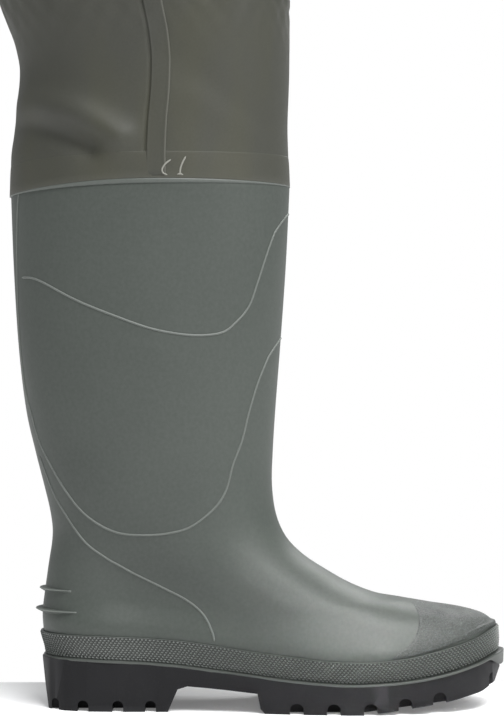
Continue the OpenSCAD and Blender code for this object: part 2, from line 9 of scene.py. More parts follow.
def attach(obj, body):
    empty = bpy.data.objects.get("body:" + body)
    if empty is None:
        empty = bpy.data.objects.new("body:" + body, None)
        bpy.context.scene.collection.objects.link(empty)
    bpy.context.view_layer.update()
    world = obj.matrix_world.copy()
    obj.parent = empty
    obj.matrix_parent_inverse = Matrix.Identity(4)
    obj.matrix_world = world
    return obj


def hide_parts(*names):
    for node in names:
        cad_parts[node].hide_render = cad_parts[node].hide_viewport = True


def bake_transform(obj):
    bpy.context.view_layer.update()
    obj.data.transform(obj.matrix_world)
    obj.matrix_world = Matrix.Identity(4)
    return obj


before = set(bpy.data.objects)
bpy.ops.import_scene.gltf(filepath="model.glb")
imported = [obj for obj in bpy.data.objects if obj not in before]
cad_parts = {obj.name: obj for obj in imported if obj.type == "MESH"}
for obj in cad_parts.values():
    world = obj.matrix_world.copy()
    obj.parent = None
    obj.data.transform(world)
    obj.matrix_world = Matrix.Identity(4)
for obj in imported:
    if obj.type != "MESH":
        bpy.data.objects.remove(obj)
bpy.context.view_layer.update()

# ---- Camera: level, from the wearer's right, at the height of the boot ----

EYE = (-1.597, -0.0254, 0.2316)
LENS_MM = 111.1
VIEW_DEPTH = 1.597        # this view ends at the centre plane: one boot and leg
camera_data = bpy.data.cameras.new("camera")
camera_data.lens = LENS_MM
camera_data.sensor_width = 36
camera_data.clip_start = 0.1
camera_data.clip_end = VIEW_DEPTH
camera = bpy.data.objects.new("camera", camera_data)
camera.location = EYE
camera.rotation_euler = (math.radians(90), 0, math.radians(-90))
bpy.context.scene.collection.objects.link(camera)
bpy.context.scene.camera = camera

# ---- Measures of the CAD part, in millimetres: x to the left, f forward of the heel, z up ----

MM = 0.001
HEEL_Y = 115.0
STANCE = 97.0
FABRIC_SHEET = 0.9        # thickness of the coated fabric
CROTCH_Z, WAIST_Z = 810.0, 1020.0
TORSO_F, TORSO_ROUND, RISE_H = 78.0, 2.5, 150.0
SOLE_LEN = 309.0
STRAP_W, STRAP_T = 38.0, 2.0
LOOP_Y = 3.4

# Boot sections from the sole up: rear f and z, front f and z, half width, share of the foot outline, sag
BOOT = np.array([
    [2, 36, 304, 36, 50.5, 1, 16.7], [0, 52.2, 304.3, 54.3, 52, 1, 18.5],
    [-0.7, 59.6, 301.4, 57, 51.5, 1, 15.5], [-0.7, 65.2, 294.5, 61.4, 49, 1, 12.5],
    [-0.2, 69.9, 282, 64.8, 46.5, 1, 9], [0.5, 75, 266, 67, 44.5, 1, 6],
    [1.2, 80, 248, 70, 43.5, 0.95, 3.5], [2.2, 87, 228, 73.3, 43, 0.85, 1.5],
    [3.2, 94, 208, 80.6, 43, 0.7, 0], [4.2, 100.5, 191, 90, 43.5, 0.5, 0],
    [5.5, 109, 175, 100.5, 44.3, 0.3, 0], [5.9, 119, 163.4, 112.5, 45.2, 0.15, 0],
    [4, 132, 156.6, 128, 46.5, 0.05, 0], [0, 148.5, 153.9, 148, 48.3, 0, 0],
    [-5.5, 170, 154.5, 171, 50.5, 0, 0], [-12, 199, 156.3, 200, 53.5, 0, 0],
    [-17, 242, 159.6, 243, 56.5, 0, 0], [-20.3, 296, 163.4, 298, 59, 0, 0],
    [-22.4, 354, 166.3, 360, 60.5, 0, 0]])
# Plan of the foot: place along its length, share of the half width to the outer and to the inner side
FOOT = [[0, 0, 0], [0.012, 0.30, 0.28], [0.055, 0.58, 0.56], [0.13, 0.70, 0.68], [0.25, 0.70, 0.64],
        [0.40, 0.77, 0.62], [0.55, 0.93, 0.76], [0.68, 1.0, 0.96], [0.80, 0.95, 0.98], [0.90, 0.75, 0.84],
        [0.965, 0.44, 0.54], [1, 0, 0]]
FOOT_LOOP = np.array([[t, -a] for t, a, b in FOOT] + [[t, b] for t, a, b in FOOT[-2:0:-1]])
# How the edge of the sole dips between heel and toe
DIP = np.array([[0, 0.1], [0.06, 0.12], [0.14, 0.175], [0.22, 0.255], [0.29, 0.36], [0.37, 0.53],
                [0.46, 0.72], [0.54, 0.87], [0.62, 0.98], [0.68, 1], [0.74, 0.95], [0.8, 0.83],
                [0.86, 0.64], [0.92, 0.35], [0.97, 0.08], [1, 0]])
# Leg: height, distance of its middle from the centre plane, middle f, half width, half depth
LEG = np.array([
    [340, 97, 71.6, 63.5, 97.0], [366, 97, 71.5, 63.4, 96.2], [385, 97.3, 72.2, 62.6, 93.9],
    [410, 97.8, 74.3, 63, 92.0], [426, 98.2, 74.8, 64, 91.8], [442, 98.7, 73.5, 66, 93.2],
    [458, 99.3, 70.5, 68.5, 95.6], [474, 100, 67.5, 71, 98.6], [500, 101, 64.5, 75, 103],
    [560, 104, 64, 82, 110], [650, 109, 67, 96, 121], [750, 116, 71, 111, 137],
    [810, 120, 74, 120, 147], [1300, 120, 78, 120, 152]])
# Torso: height, half width, half depth
TORSO = np.array([
    [780, 242, 150], [870, 249, 157], [930, 246, 156], [970, 234, 147], [998, 227, 141],
    [1020, 226, 140], [1052, 229, 142.6], [1110, 240, 149], [1200, 247, 151], [1310, 240, 146]])
# How far inside that shape the fabric hugs the boot, by height
HUG = np.array([[340, -3.1], [366, -2.7], [385, -1.7], [410, -1.2], [474, -0.7], [540, 0]])
CUFF_EDGE = np.array([[0, 347.6], [0.25, 342], [0.5, 347.6], [0.75, 348.7], [1, 347.6]])
BIB_EDGE = np.array([[0, 1255], [0.12, 1255], [0.2, 1243], [0.3, 1210], [0.4, 1168], [0.48, 1150],
                     [0.55, 1158], [0.64, 1200], [0.73, 1258], [0.82, 1290], [1, 1290]])


def mix(a, b, t):
    return a + (b - a) * t


def step(x, low, high):
    t = np.clip((np.asarray(x, float) - low) / (high - low), 0, 1)
    return t * t * (3 - 2 * t)


def smooth(table, x, column=1):
    """A table read along a smooth curve that never runs past its own points."""
    xs, ys = table[:, 0], table[:, column]
    h = np.diff(xs)
    rise = np.diff(ys) / h
    product = rise[:-1] * rise[1:]
    total = np.where(product > 0, rise[:-1] + rise[1:], 1)
    slope = np.concatenate([[rise[0]], np.where(product > 0, 2 * product / total, 0), [rise[-1]]])
    x = np.clip(np.asarray(x, float), xs[0], xs[-1])
    k = np.clip(np.searchsorted(xs, x, side="right") - 1, 0, len(xs) - 2)
    t = (x - xs[k]) / h[k]
    return ((2 * t**3 - 3 * t**2 + 1) * ys[k] + (t**3 - 2 * t**2 + t) * h[k] * slope[k]
            + (3 * t**2 - 2 * t**3) * ys[k + 1] + (t**3 - t**2) * h[k] * slope[k + 1])


def catmull_weights(t):
    return np.stack([-0.5 * t**3 + t**2 - 0.5 * t, 1.5 * t**3 - 2.5 * t**2 + 1,
                     -1.5 * t**3 + 2 * t**2 + 0.5 * t, 0.5 * t**3 - 0.5 * t**2], -1)


def along(rows, p, loop=False):
    """Rows of numbers read at fractional row p on a Catmull-Rom curve."""
    rows, p = np.asarray(rows, float), np.asarray(p, float)
    n = len(rows)
    k = np.floor(p).astype(int)
    if not loop:
        k = np.clip(k, 0, n - 2)
    w = catmull_weights(p - k)
    total = 0
    for i in range(4):
        index = (k - 1 + i) % n if loop else np.clip(k - 1 + i, 0, n - 1)
        total = total + w[..., i, None] * rows[index]
    return total


def sampled(field, r, c):
    """A grid of vectors read at fractional rows and columns."""
    rows, cols = field.shape[:2]
    r0 = np.clip(np.floor(r).astype(int), 0, rows - 2)
    c0 = np.clip(np.floor(c).astype(int), 0, cols - 2)
    wr, wc = catmull_weights(r - r0), catmull_weights(c - c0)
    total = 0
    for i in range(4):
        for j in range(4):
            value = field[np.clip(r0 - 1 + i, 0, rows - 1), np.clip(c0 - 1 + j, 0, cols - 1)]
            total = total + (wr[..., i] * wc[..., j])[..., None] * value
    return total


def unit(v):
    return v / np.maximum(np.linalg.norm(v, axis=-1, keepdims=True), 1e-9)


def travelled(path):
    """Distance along a path, at each of its points."""
    return np.concatenate([[0], np.cumsum(np.linalg.norm(np.diff(path, axis=0), axis=1))])


def read_at(places, run, rows):
    """Rows of numbers read at places along their run."""
    return np.stack([np.interp(places, run, rows[:, k]) for k in range(rows.shape[1])], -1)


def paired(a, b):
    """Two grids of numbers as one grid of pairs."""
    return np.stack(np.broadcast_arrays(a, b), -1)

# ---- Materials ----

class Finish:
    """Shorthand for building one material's nodes."""

    def __init__(self, name):
        self.material = bpy.data.materials.new(name)
        self.material.use_nodes = True
        self.tree = self.material.node_tree
        self.tree.nodes.clear()
        self.place = self.node("ShaderNodeTexCoord").outputs["Object"]

    def node(self, kind, inputs=None, **settings):
        made = self.tree.nodes.new(kind)
        for key, value in settings.items():
            setattr(made, key, value)
        for key, value in (inputs or {}).items():
            self.put(made.inputs[key], value)
        return made

    def put(self, socket, value):
        if isinstance(value, bpy.types.NodeSocket):
            self.tree.links.new(value, socket)
        else:
            socket.default_value = value

    def math(self, operation, a, b=0.0):
        return self.node("ShaderNodeMath", {0: a, 1: b}, operation=operation).outputs[0]

    def times(self, a, b):
        return self.math("MULTIPLY", a, b)

    def plus(self, a, b):
        return self.math("ADD", a, b)

    def span(self, value, low, high, to_low=0.0, to_high=1.0):
        names = ("Value", "From Min", "From Max", "To Min", "To Max")
        values = (value, low, high, to_low, to_high)
        return self.node("ShaderNodeMapRange", dict(zip(names, values))).outputs[0]

    def blend(self, share, a, b):
        a, b = ((*color, 1) if isinstance(color, tuple) else color for color in (a, b))
        return self.node("ShaderNodeMix", {0: share, 6: a, 7: b}, data_type="RGBA").outputs[2]

    def noise(self, scale, detail=3.0, stretch=(1, 1, 1)):
        place = self.node("ShaderNodeMapping", {"Vector": self.place, "Scale": stretch}).outputs[0]
        return self.node("ShaderNodeTexNoise", {"Vector": place, "Scale": scale, "Detail": detail}).outputs[0]

    def cells(self, scale):
        return self.node("ShaderNodeTexVoronoi", {"Vector": self.place, "Scale": scale}).outputs["Distance"]

    def value(self, name):
        return self.node("ShaderNodeAttribute", attribute_name=name).outputs["Fac"]

    def edges(self, low=0.51, high=0.58):
        return self.span(self.node("ShaderNodeNewGeometry").outputs["Pointiness"], low, high)

    def patches(self, scale, detail, a, b, low=0.35, high=0.65):
        """Two colours in soft patches."""
        return self.blend(self.span(self.noise(scale, detail), low, high), a, b)

    def over(self, color, mask, share, top):
        """A colour with another laid over it, as strongly as the mask says."""
        return self.blend(self.times(mask, share), color, top)

    def gloss(self, scale, detail, low, high):
        """Roughness that wanders between two values."""
        return self.span(self.noise(scale, detail), 0.3, 0.7, low, high)

    def threads(self, axis, pitch_mm):
        """Ridges that repeat along the piece's own length (axis 1) or width (axis 0)."""
        cloth = self.node("ShaderNodeAttribute", attribute_name="cloth").outputs["Vector"]
        part = self.node("ShaderNodeSeparateXYZ", {0: cloth}).outputs[axis]
        return self.math("SINE", self.times(part, 2 * math.pi / (pitch_mm * MM)))

    def done(self, color, roughness, height, depth_mm, **more):
        bump = self.node("ShaderNodeBump", {"Height": height, "Strength": 1.0, "Distance": depth_mm * MM})
        keys = {"Base Color": (*color, 1) if isinstance(color, tuple) else color,
                "Roughness": roughness, "Normal": bump.outputs[0]}
        keys.update({key.replace("_", " "): value for key, value in more.items()})
        shader = self.node("ShaderNodeBsdfPrincipled", keys).outputs[0]
        self.node("ShaderNodeOutputMaterial", {0: shader})
        return self.material


def moulded():
    """The boot's PVC: soft colour drift, a faint orange peel, paler worn edges, painted highlight on raised
    beads.
    """
    m = Finish("boot_pvc")
    color = m.patches(7, 2, (0.033, 0.040, 0.034), (0.042, 0.050, 0.043))
    # the last mask is a painted highlight on the piping, the heel ribs and the boot's rim
    for mask, share in ((m.noise(420, 2), 0.12), (m.edges(), 0.5), (m.value("painted_light"), 0.42)):
        color = m.over(color, mask, share, (0.20, 0.215, 0.20))
    height = m.plus(m.noise(260, 2), m.times(m.noise(900, 1), 0.4))
    return m.done(color, m.gloss(16, 4, 0.43, 0.55), height, 0.03, Specular_IOR_Level=0.42)


def studded():
    """The band's PVC: painted highlight on the tops of the studs and rims, painted shade in the grooves."""
    m = Finish("studded_pvc")
    painted_light = m.value("painted_light")
    color = m.patches(11, 3, (0.040, 0.046, 0.041), (0.052, 0.058, 0.052))
    # painted shade in the grooves, then painted highlight on the stud tops and rims
    color = m.blend(m.span(painted_light, 0.0, 0.35), (0.010, 0.012, 0.010), color)
    color = m.over(color, m.span(painted_light, 0.4, 1.0), 0.85, (0.13, 0.14, 0.132))
    return m.done(color, m.gloss(60, 3, 0.36, 0.5), m.noise(800, 2), 0.05)


def grained():
    """The toe cap's PVC: close pebble grain, painted shade between pebbles, painted highlight on their tops.
    """
    m = Finish("grained_pvc")
    pebble = m.cells(1000)
    color = m.patches(12, 3, (0.037, 0.043, 0.039), (0.046, 0.052, 0.048))
    # painted shade between the pebbles
    color = m.blend(m.span(pebble, 0.25, 0.7), color, (0.020, 0.024, 0.021))
    # painted highlight on the grain and along the cap's edge
    color = m.over(color, m.value("painted_light"), 0.6, (0.12, 0.13, 0.122))
    height = m.math("SUBTRACT", m.times(m.noise(500, 2), 0.6), pebble)
    return m.done(color, m.gloss(90, 3, 0.42, 0.56), height, 0.35)


def rubber():
    """Black sole compound: matt, fine grained, dusty along its edges."""
    m = Finish("black_rubber")
    color = m.patches(14, 4, (0.0040, 0.0040, 0.0046), (0.0066, 0.0066, 0.0076), 0.3, 0.7)
    color = m.over(color, m.edges(0.52, 0.62), 0.4, (0.05, 0.05, 0.053))
    color = m.over(color, m.span(m.noise(900, 2), 0.55, 0.75), 0.1, (0.04, 0.04, 0.043))
    return m.done(color, m.gloss(40, 4, 0.42, 0.6), m.noise(1100, 2), 0.06, Specular_IOR_Level=0.18)


def coated_cloth(name, low, high, streak, rough, weave):
    """Coated fabric: long soft colour drifts, a fine plain weave under the coating, painted highlight on
    raised edges.
    """
    m = Finish(name)
    color = m.blend(m.span(m.noise(9, 2, (1, 1, 0.22)), 0.36, 0.64), low, high)
    color = m.over(color, m.span(m.noise(23, 3, (1, 1, 0.3)), 0.5, 0.72), 0.45, streak)
    color = m.over(color, m.noise(700, 2), 0.10, (0.14, 0.14, 0.12))
    # painted highlight on seam ridges, creases, lips and bindings
    color = m.over(color, m.value("painted_light"), 0.8, (0.26, 0.26, 0.23))
    cross = m.times(m.threads(0, 0.9), m.threads(1, 0.9))
    height = m.plus(m.times(cross, weave), m.times(m.noise(330, 3), 0.5))
    return m.done(color, m.gloss(30, 4, rough - 0.05, rough + 0.08), height, 0.07, Specular_IOR_Level=0.42)


def knit():
    m = Finish("knit_lining")
    stitch = m.times(m.threads(0, 1.6), m.threads(1, 1.2))
    color = m.blend(m.span(stitch, -0.6, 0.8), (0.10, 0.10, 0.10), (0.30, 0.30, 0.29))
    color = m.over(color, m.noise(500, 3), 0.5, (0.24, 0.24, 0.23))
    return m.done(color, 0.9, m.plus(stitch, m.noise(900, 2)), 0.3, Sheen_Weight=0.3)


def felt():
    m = Finish("insole_felt")
    color = m.patches(350, 5, (0.16, 0.16, 0.155), (0.33, 0.33, 0.31), 0.3, 0.7)
    return m.done(color, 0.95, m.noise(1200, 4), 0.5, Sheen_Weight=0.4)


def webbing(name, low, high, rib_mm, wale_mm, depth):
    """Woven strap: ribs across, wales along, and paler worn patches."""
    m = Finish(name)
    weave = m.plus(m.threads(1, rib_mm), m.times(m.threads(0, wale_mm), 0.6))
    color = m.blend(m.span(weave, -1.2, 1.2), low, high)
    color = m.over(color, m.span(m.noise(45, 4), 0.5, 0.75), 0.5, high)
    color = m.over(color, m.noise(1300, 2), 0.3, (0.06, 0.06, 0.058))
    return m.done(color, m.gloss(80, 3, 0.7, 0.85), m.plus(weave, m.noise(1500, 2)), depth, Sheen_Weight=0.25)


def plastic():
    m = Finish("buckle_plastic")
    color = m.patches(30, 3, (0.012, 0.012, 0.013), (0.020, 0.020, 0.021), 0.3, 0.7)
    color = m.over(color, m.edges(0.52, 0.60), 0.5, (0.09, 0.09, 0.092))
    return m.done(color, m.gloss(120, 3, 0.32, 0.46), m.plus(m.noise(1400, 2), m.cells(900)), 0.04)


def nickel():
    m = Finish("snap_metal")
    color = m.patches(200, 4, (0.42, 0.42, 0.41), (0.62, 0.61, 0.59), 0.3, 0.7)
    color = m.over(color, m.edges(0.52, 0.62), 0.5, (0.8, 0.8, 0.78))
    return m.done(color, m.gloss(260, 4, 0.22, 0.38), m.noise(700, 3, (1, 1, 9)), 0.02, Metallic=0.95)


def thread():
    m = Finish("sewing_thread")
    color = m.blend(m.noise(1500, 2), (0.045, 0.047, 0.035), (0.13, 0.13, 0.105))
    return m.done(color, 0.7, m.noise(2500, 2), 0.05, Sheen_Weight=0.2)


BOOT_PVC, BAND_PVC, TOE_PVC, SOLE_PVC = moulded(), studded(), grained(), rubber()
CLOTH = coated_cloth("coated_fabric", (0.026, 0.027, 0.020), (0.035, 0.036, 0.027),
                     (0.036, 0.036, 0.017), 0.52, 0.5)
WELD = coated_cloth("weld_band", (0.028, 0.029, 0.021), (0.037, 0.038, 0.028),
                    (0.040, 0.039, 0.020), 0.50, 0.3)
TAPE = coated_cloth("seam_tape", (0.027, 0.028, 0.021), (0.036, 0.037, 0.029),
                    (0.036, 0.036, 0.020), 0.50, 0.3)
KNIT, FELT, THREAD = knit(), felt(), thread()
ELASTIC = webbing("elastic_webbing", (0.011, 0.011, 0.012), (0.034, 0.034, 0.034), 1.5, 1.9, 0.28)
WEB = webbing("belt_webbing", (0.010, 0.010, 0.011), (0.030, 0.030, 0.029), 1.1, 2.4, 0.22)
PLASTIC, METAL = plastic(), nickel()


# ---- Meshes ----

def quads(rows, cols, wrap=False, start=0):
    r = np.arange(rows - 1)[:, None]
    c = np.arange(cols if wrap else cols - 1)[None, :]
    n = (c + 1) % cols
    corners = [r * cols + c, r * cols + n, (r + 1) * cols + n, (r + 1) * cols + c]
    return (np.stack(corners, -1) + start).reshape(-1, 4)


def slab(outer, inner, wrap=False):
    """Closed solid between two grids. Seen from outside, columns run to the right and rows go up."""
    rows, cols = outer.shape[:2]
    n = rows * cols
    c = np.arange(cols if wrap else cols - 1)
    d = (c + 1) % cols
    top = (rows - 1) * cols
    faces = [quads(rows, cols, wrap), quads(rows, cols, wrap, n)[:, ::-1],
             np.stack([c, n + c, n + d, d], -1), np.stack([top + c, top + d, n + top + d, n + top + c], -1)]
    if not wrap:
        r = np.arange(rows - 1) * cols
        e = r + cols - 1
        faces += [np.stack([r, r + cols, n + r + cols, n + r], -1),
                  np.stack([e, n + e, n + e + cols, e + cols], -1)]
    return np.concatenate([outer.reshape(-1, 3), inner.reshape(-1, 3)]), np.concatenate(faces)


def capped(rings):
    """Closed solid from a row of rings of points."""
    count, n = rings.shape[:2]
    last = (count - 1) * n
    ends = [list(range(n - 1, -1, -1)), [last + i for i in range(n)]]
    return rings.reshape(-1, 3), quads(count, n, wrap=True).tolist() + ends


def copied(shape, size, count):
    """The faces of many equal small solids, each of size points."""
    return [[size * k + i for i in face] for k in range(count) for face in shape]


def filled(values, count):
    """Numbers for the first points and 0 for the rest of them; a single number goes to all."""
    values = np.asarray(values, float).ravel()
    return np.full(count, values[0]) if values.size == 1 else np.pad(values, (0, count - values.size))


def joined(parts):
    """Several (points, faces[, painted light]) as one, with one number of painted light a point."""
    points, faces, painted_light, count = [], [], [], 0
    for part in parts:
        p = np.asarray(part[0], float).reshape(-1, 3)
        points.append(p)
        faces += [[int(i) + count for i in face] for face in part[1]]
        painted_light.append(filled(part[2] if len(part) > 2 else 0.0, len(p)))
        count += len(p)
    return np.concatenate(points), faces, np.concatenate(painted_light)


def piece(name, points, faces, body, slot, material, side="right", painted_light=0.0, cloth=None, x=0.0, node=None):
    """A new object from points in millimetres (x, y, z), in place of a CAD node; side "left" mirrors it.

    The cloth coordinates of a slab's outer grid serve its inner grid too.
    """
    points = np.array(points, float).reshape(-1, 3)
    points[:, 0] += x
    faces = [list(map(int, f)) for f in faces]
    if side == "left":
        points[:, 0] *= -1
        faces = [f[::-1] for f in faces]
    mesh = bpy.data.meshes.new(name)
    mesh.from_pydata((points * MM).tolist(), [], faces)
    mesh.shade_smooth()
    # paleness per point, which the materials turn into painted highlight and painted shade
    values = filled(painted_light, len(points)).astype(np.float32)
    mesh.attributes.new("painted_light", "FLOAT", "POINT").data.foreach_set("value", values)
    if cloth is not None:
        flat = np.zeros((len(points), 3), np.float32)
        flat[:, :2] = np.resize(cloth, (len(points), 2)) * MM
        mesh.attributes.new("cloth", "FLOAT_VECTOR", "POINT").data.foreach_set("vector", flat.ravel())
    mesh.materials.append(material)
    obj = bpy.data.objects.new(name, mesh)
    bpy.context.scene.collection.objects.link(obj)
    if body:
        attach(obj, body)
    if node:
        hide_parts(node)
    return obj


def sharpen(obj, degrees):
    """Marks edges sharper than an angle, so that only the rest shade smooth."""
    obj.data.set_sharp_from_angle(angle=math.radians(degrees))


def thicken(obj, thickness_mm):
    solid = obj.modifiers.new("thickness", "SOLIDIFY")
    solid.thickness = thickness_mm * MM
    solid.offset = -1.0
    return obj


def tube(path, out, half_width, height, taper=2.0):
    """A closed bead along a path on a surface that faces out; its ends taper over some mm."""
    path, out = np.asarray(path, float), np.asarray(out, float)
    across = unit(np.cross(unit(np.gradient(path, axis=0)), out))
    run = travelled(path)
    size = np.sqrt(np.clip(np.minimum(run, run[-1] - run) / taper, 0.02, 1))[:, None]
    angle = np.linspace(0, 2 * math.pi, 8, endpoint=False)
    rings = np.stack([path + across * half_width * size * math.cos(a)
                      + out * (max(math.sin(a), -0.5) * height * size) for a in angle], 1)
    points, faces = capped(rings)
    return points, [face[::-1] for face in faces]


def dashes(path, out, pitch=3.6, length=2.6):
    """Stitches along a path: small pointed ridges."""
    path, out = np.asarray(path, float), np.asarray(out, float)
    half, height = 0.28, 0.3
    run = travelled(path)
    centres = np.arange(pitch / 2, run[-1], pitch)
    ends = np.stack([centres - length / 2, centres, centres + length / 2], 1)
    at = read_at(ends, run, path)
    up = unit(read_at(centres, run, out))
    side = unit(np.cross(at[:, 2] - at[:, 0], up))
    points = np.stack([at[:, 0] - up * 0.1, at[:, 1] + side * half, at[:, 1] - side * half,
                       at[:, 1] + up * height, at[:, 2] - up * 0.1, at[:, 1] - up * 0.2], 1)
    shape = [[0, 3, 1], [0, 2, 3], [4, 1, 3], [4, 3, 2], [0, 1, 5], [0, 5, 2], [4, 5, 1], [4, 2, 5]]
    return points.reshape(-1, 3), copied(shape, 6, len(centres))


def ribbon(path, across, width, thickness):
    """A woven strap along a path: points, faces and cloth coordinates."""
    path = np.asarray(path, float)
    way = unit(np.gradient(path, axis=0))
    across = unit(across - way * (across * way).sum(-1, keepdims=True))
    out = np.cross(way, across)
    xs = np.array([-1, -0.96, -0.6, -0.2, 0.2, 0.6, 0.96, 1]) * width / 2
    hs = np.array([0.35, 0.92, 1, 1, 1, 1, 0.92, 0.35]) * thickness / 2
    xs, hs = np.concatenate([xs, xs[::-1]]), np.concatenate([hs, -hs[::-1]])
    rings = path[:, None] + across[:, None] * xs[None, :, None] + out[:, None] * hs[None, :, None]
    return (*capped(rings), paired(xs[None, :], travelled(path)[:, None]))


# ---- Boots ----

def foot_plan(share, u):
    """Place along the length and signed share of the half width; u is 0 at the heel and 1 at the toe."""
    foot = along(FOOT_LOOP, (np.asarray(u, float) % 2) * len(FOOT_LOOP) / 2, loop=True)
    ellipse = np.stack([(1 - np.cos(np.pi * u)) / 2, -np.sin(np.pi * u)], -1)
    return mix(ellipse, foot, share[..., None])


def boot_points(p, u, out=0.0):
    """Points (x, y, z) of one boot at section p and place u, moved out by out."""
    p, u, out = np.broadcast_arrays(np.asarray(p, float), np.asarray(u, float), np.asarray(out, float))
    out = out - UNDER_FABRIC * step(p, *UNDER_FABRIC_P)
    s = along(BOOT, p)
    plan = foot_plan(s[..., 5], u)
    t, share = plan[..., 0], plan[..., 1]
    f = mix(s[..., 0] - out, s[..., 2] + out, t)
    z = mix(s[..., 1], s[..., 3], t) - s[..., 6] * smooth(DIP, t)
    return np.stack([share * (s[..., 4] + out), HEEL_Y - f, z], -1)


def boot_grid(p, u, out=0.0):
    return boot_points(np.asarray(p)[:, None], np.asarray(u)[None, :], out)


BOOT_WALL = 3.0
UNDER_FABRIC = 1.5        # the boot's wall is this much thinner where the fabric is welded over it
UNDER_FABRIC_P = (17.72, 17.86)    # and gets so between these sections
AROUND = 176
ROWS_OF_SECTION = [4, 3, 3, 3, 4, 4, 4, 4, 4, 4, 4, 4, 5, 6, 8, 10, 12, 25]
ring_u = np.arange(AROUND) * 2 / AROUND
section_p = np.concatenate([np.linspace(k, k + 1, n, endpoint=False)
                            for k, n in enumerate(ROWS_OF_SECTION)] + [[len(ROWS_OF_SECTION)]])
shell = boot_grid(section_p, ring_u)
shell_faces = quads(len(section_p), AROUND, wrap=True)
shell_tree = BVHTree.FromPolygons([Vector(v) for v in shell.reshape(-1, 3).tolist()], shell_faces.tolist())


def hit(origin, way):
    """Where a ray meets the boot, and the outward direction there."""
    place, normal, _, _ = shell_tree.ray_cast(Vector(origin), Vector(way).normalized())
    if place is None:
        return None
    return np.array(place), np.array(normal)


ASIDE = 300               # rays to the boot start this far out
SHAFT_F, HEEL_F = 95, 40  # the lines that the bends round the shaft and the heel turn about
BEAD_STEP = 3


def bead_path(marks, inner, front=None):
    """A moulded line through (f, z) marks on one side of the shaft.

    With front = ("first" or "last", height) that end bends on to the front middle.
    """
    marks = np.array(marks, float)
    line = along(marks, np.linspace(0, len(marks) - 1, int(travelled(marks)[-1] / BEAD_STEP)))
    sign = 1 if inner else -1
    found = [hit((sign * ASIDE, HEEL_Y - f, z), (-sign, 0, 0)) for f, z in line]
    found = [h for h in found if h]
    if front is not None:
        at_first, front_z = front[0] == "first", front[1]
        place = (found[0] if at_first else found[-1])[0]
        centre_y = HEEL_Y - SHAFT_F
        start = math.atan2(place[0], centre_y - place[1])
        turns = np.linspace(start, 0, 14)[1:]
        share = (np.cos(turns) - math.cos(start)) / (1 - math.cos(start))
        ways = [(math.sin(a), -math.cos(a)) for a in turns]
        bend = [hit((2 * ASIDE * x, centre_y + 2 * ASIDE * y, z), (-x, -y, 0))
                for (x, y), z in zip(ways, mix(place[2], front_z, share))]
        found = bend[::-1] + found if at_first else found + bend
    return np.array([h[0] for h in found]), np.array([h[1] for h in found])


PIPING = [
    ([(-12.6, 286.4), (-1.2, 284.5), (25.3, 270.8), (51.4, 260.2), (76.2, 251.7), (100.9, 247.8),
      (119.6, 249.2), (129.3, 255.7), (138.4, 267), (144.4, 283.7), (151, 304), (155.4, 316)], ("last", 330)),
    ([(151, 233), (144.3, 216.5), (138.4, 197), (133.8, 178.5), (128, 163), (123.3, 146), (115.5, 134),
      (100.5, 122.4), (85.5, 118), (69.2, 116.7), (53.4, 117.8), (40.2, 123), (27.4, 132.4), (15.7, 147),
      (6.5, 162), (-1.2, 177), (-6.6, 195), (-11.7, 216), (-15.2, 250), (-16.4, 288), (-15.9, 327),
      (-14.2, 345)], ("first", 246.4)),
    ([(-1.7, 168), (7.8, 144), (17, 128.6), (30, 111.4), (44.8, 100.6), (52.2, 96.4), (63.1, 90.3),
      (82.3, 80.8), (98, 72.5), (108.5, 63.4), (114.3, 52.3), (115.6, 46.5)], None),
]
# Kick-off ribs: height, how far round the heel they reach in degrees, how far they stand out
RIBS = [(78.4, 55, 3.8), (64.7, 64, 4.7)]
# Round a rib: share of its stand, height from its middle, paleness (painted highlight on its tip and top)
RIB_PROFILE = [(-0.6, -2.7, 0), (0.15, -1.9, 0), (0.5, -1.1, 0), (0.86, -0.3, 0.2), (1.0, 0.15, 0.55),
               (0.96, 0.5, 0.6), (0.6, 0.7, 0.3), (0.2, 0.85, 0.1), (-0.6, 1.2, 0)]


def heel_rib(z, reach, stand):
    turns = np.radians(np.linspace(-reach, reach, 61))
    centre_y = HEEL_Y - HEEL_F
    path = np.array([hit((ASIDE * math.sin(a), centre_y + ASIDE * math.cos(a), z),
                         (-math.sin(a), -math.cos(a), 0))[0] for a in turns])
    out = np.stack([np.sin(turns), np.cos(turns), 0 * turns], -1)
    size = np.clip(1 - (turns / turns[-1]) ** 2, 0.0, 1) ** 0.7
    up = np.array([0, 0, 1.0]) * (0.4 + 0.6 * size)[:, None]
    rings = np.stack([path + out * (np.maximum(o, -0.1) * stand * size + min(o, 0) * 1.2)[:, None] + up * h
                      for o, h, _ in RIB_PROFILE], 1)
    return (*capped(rings), np.tile([pale for _, _, pale in RIB_PROFILE], len(path)))


def collar_height(s):
    """How much of the boot's rim shows under the fabric: most at the sides, little at front and back."""
    return 0.6 + 2.7 * np.abs(np.cos(2 * np.pi * s)) ** 1.6


def cuff_z(s):
    """Height of the lower edge of the fabric."""
    return smooth(CUFF_EDGE, s)


RIM_LOW, CUFF_LOW = 1.0, 1.4    # the boot's rim and the weld band start this far below that edge


def boot_shell():
    parts = [slab(shell, boot_grid(section_p, ring_u, -BOOT_WALL), wrap=True)]
    for marks, front in PIPING:
        for inside in (False, True):
            # the beads are painted paler: a painted highlight
            parts.append((*tube(*bead_path(marks, inside, front), 0.75, 0.6), 0.12))
    # the rim of the boot that shows as a rounded band under the fabric, with a faint painted highlight
    s = np.linspace(0, 1, 145)[:-1]
    profile = [(-0.12, -0.9), (0.0, 0.1), (0.2, 0.65), (0.45, 0.8), (0.7, 0.65), (0.9, 0.3), (1.1, -0.2),
               (1.1, -1.0)]

    def rim(up, out):
        return leg_shape(s, cuff_z(s) - RIM_LOW + up * collar_height(s), out) + [STANCE, 0, 0]

    rows, back = np.stack([rim(*p) for p in profile]), np.stack([rim(up, -2.2) for up, _ in profile])
    parts.append((*slab(rows, back, wrap=True), 0.05))
    return joined(parts)


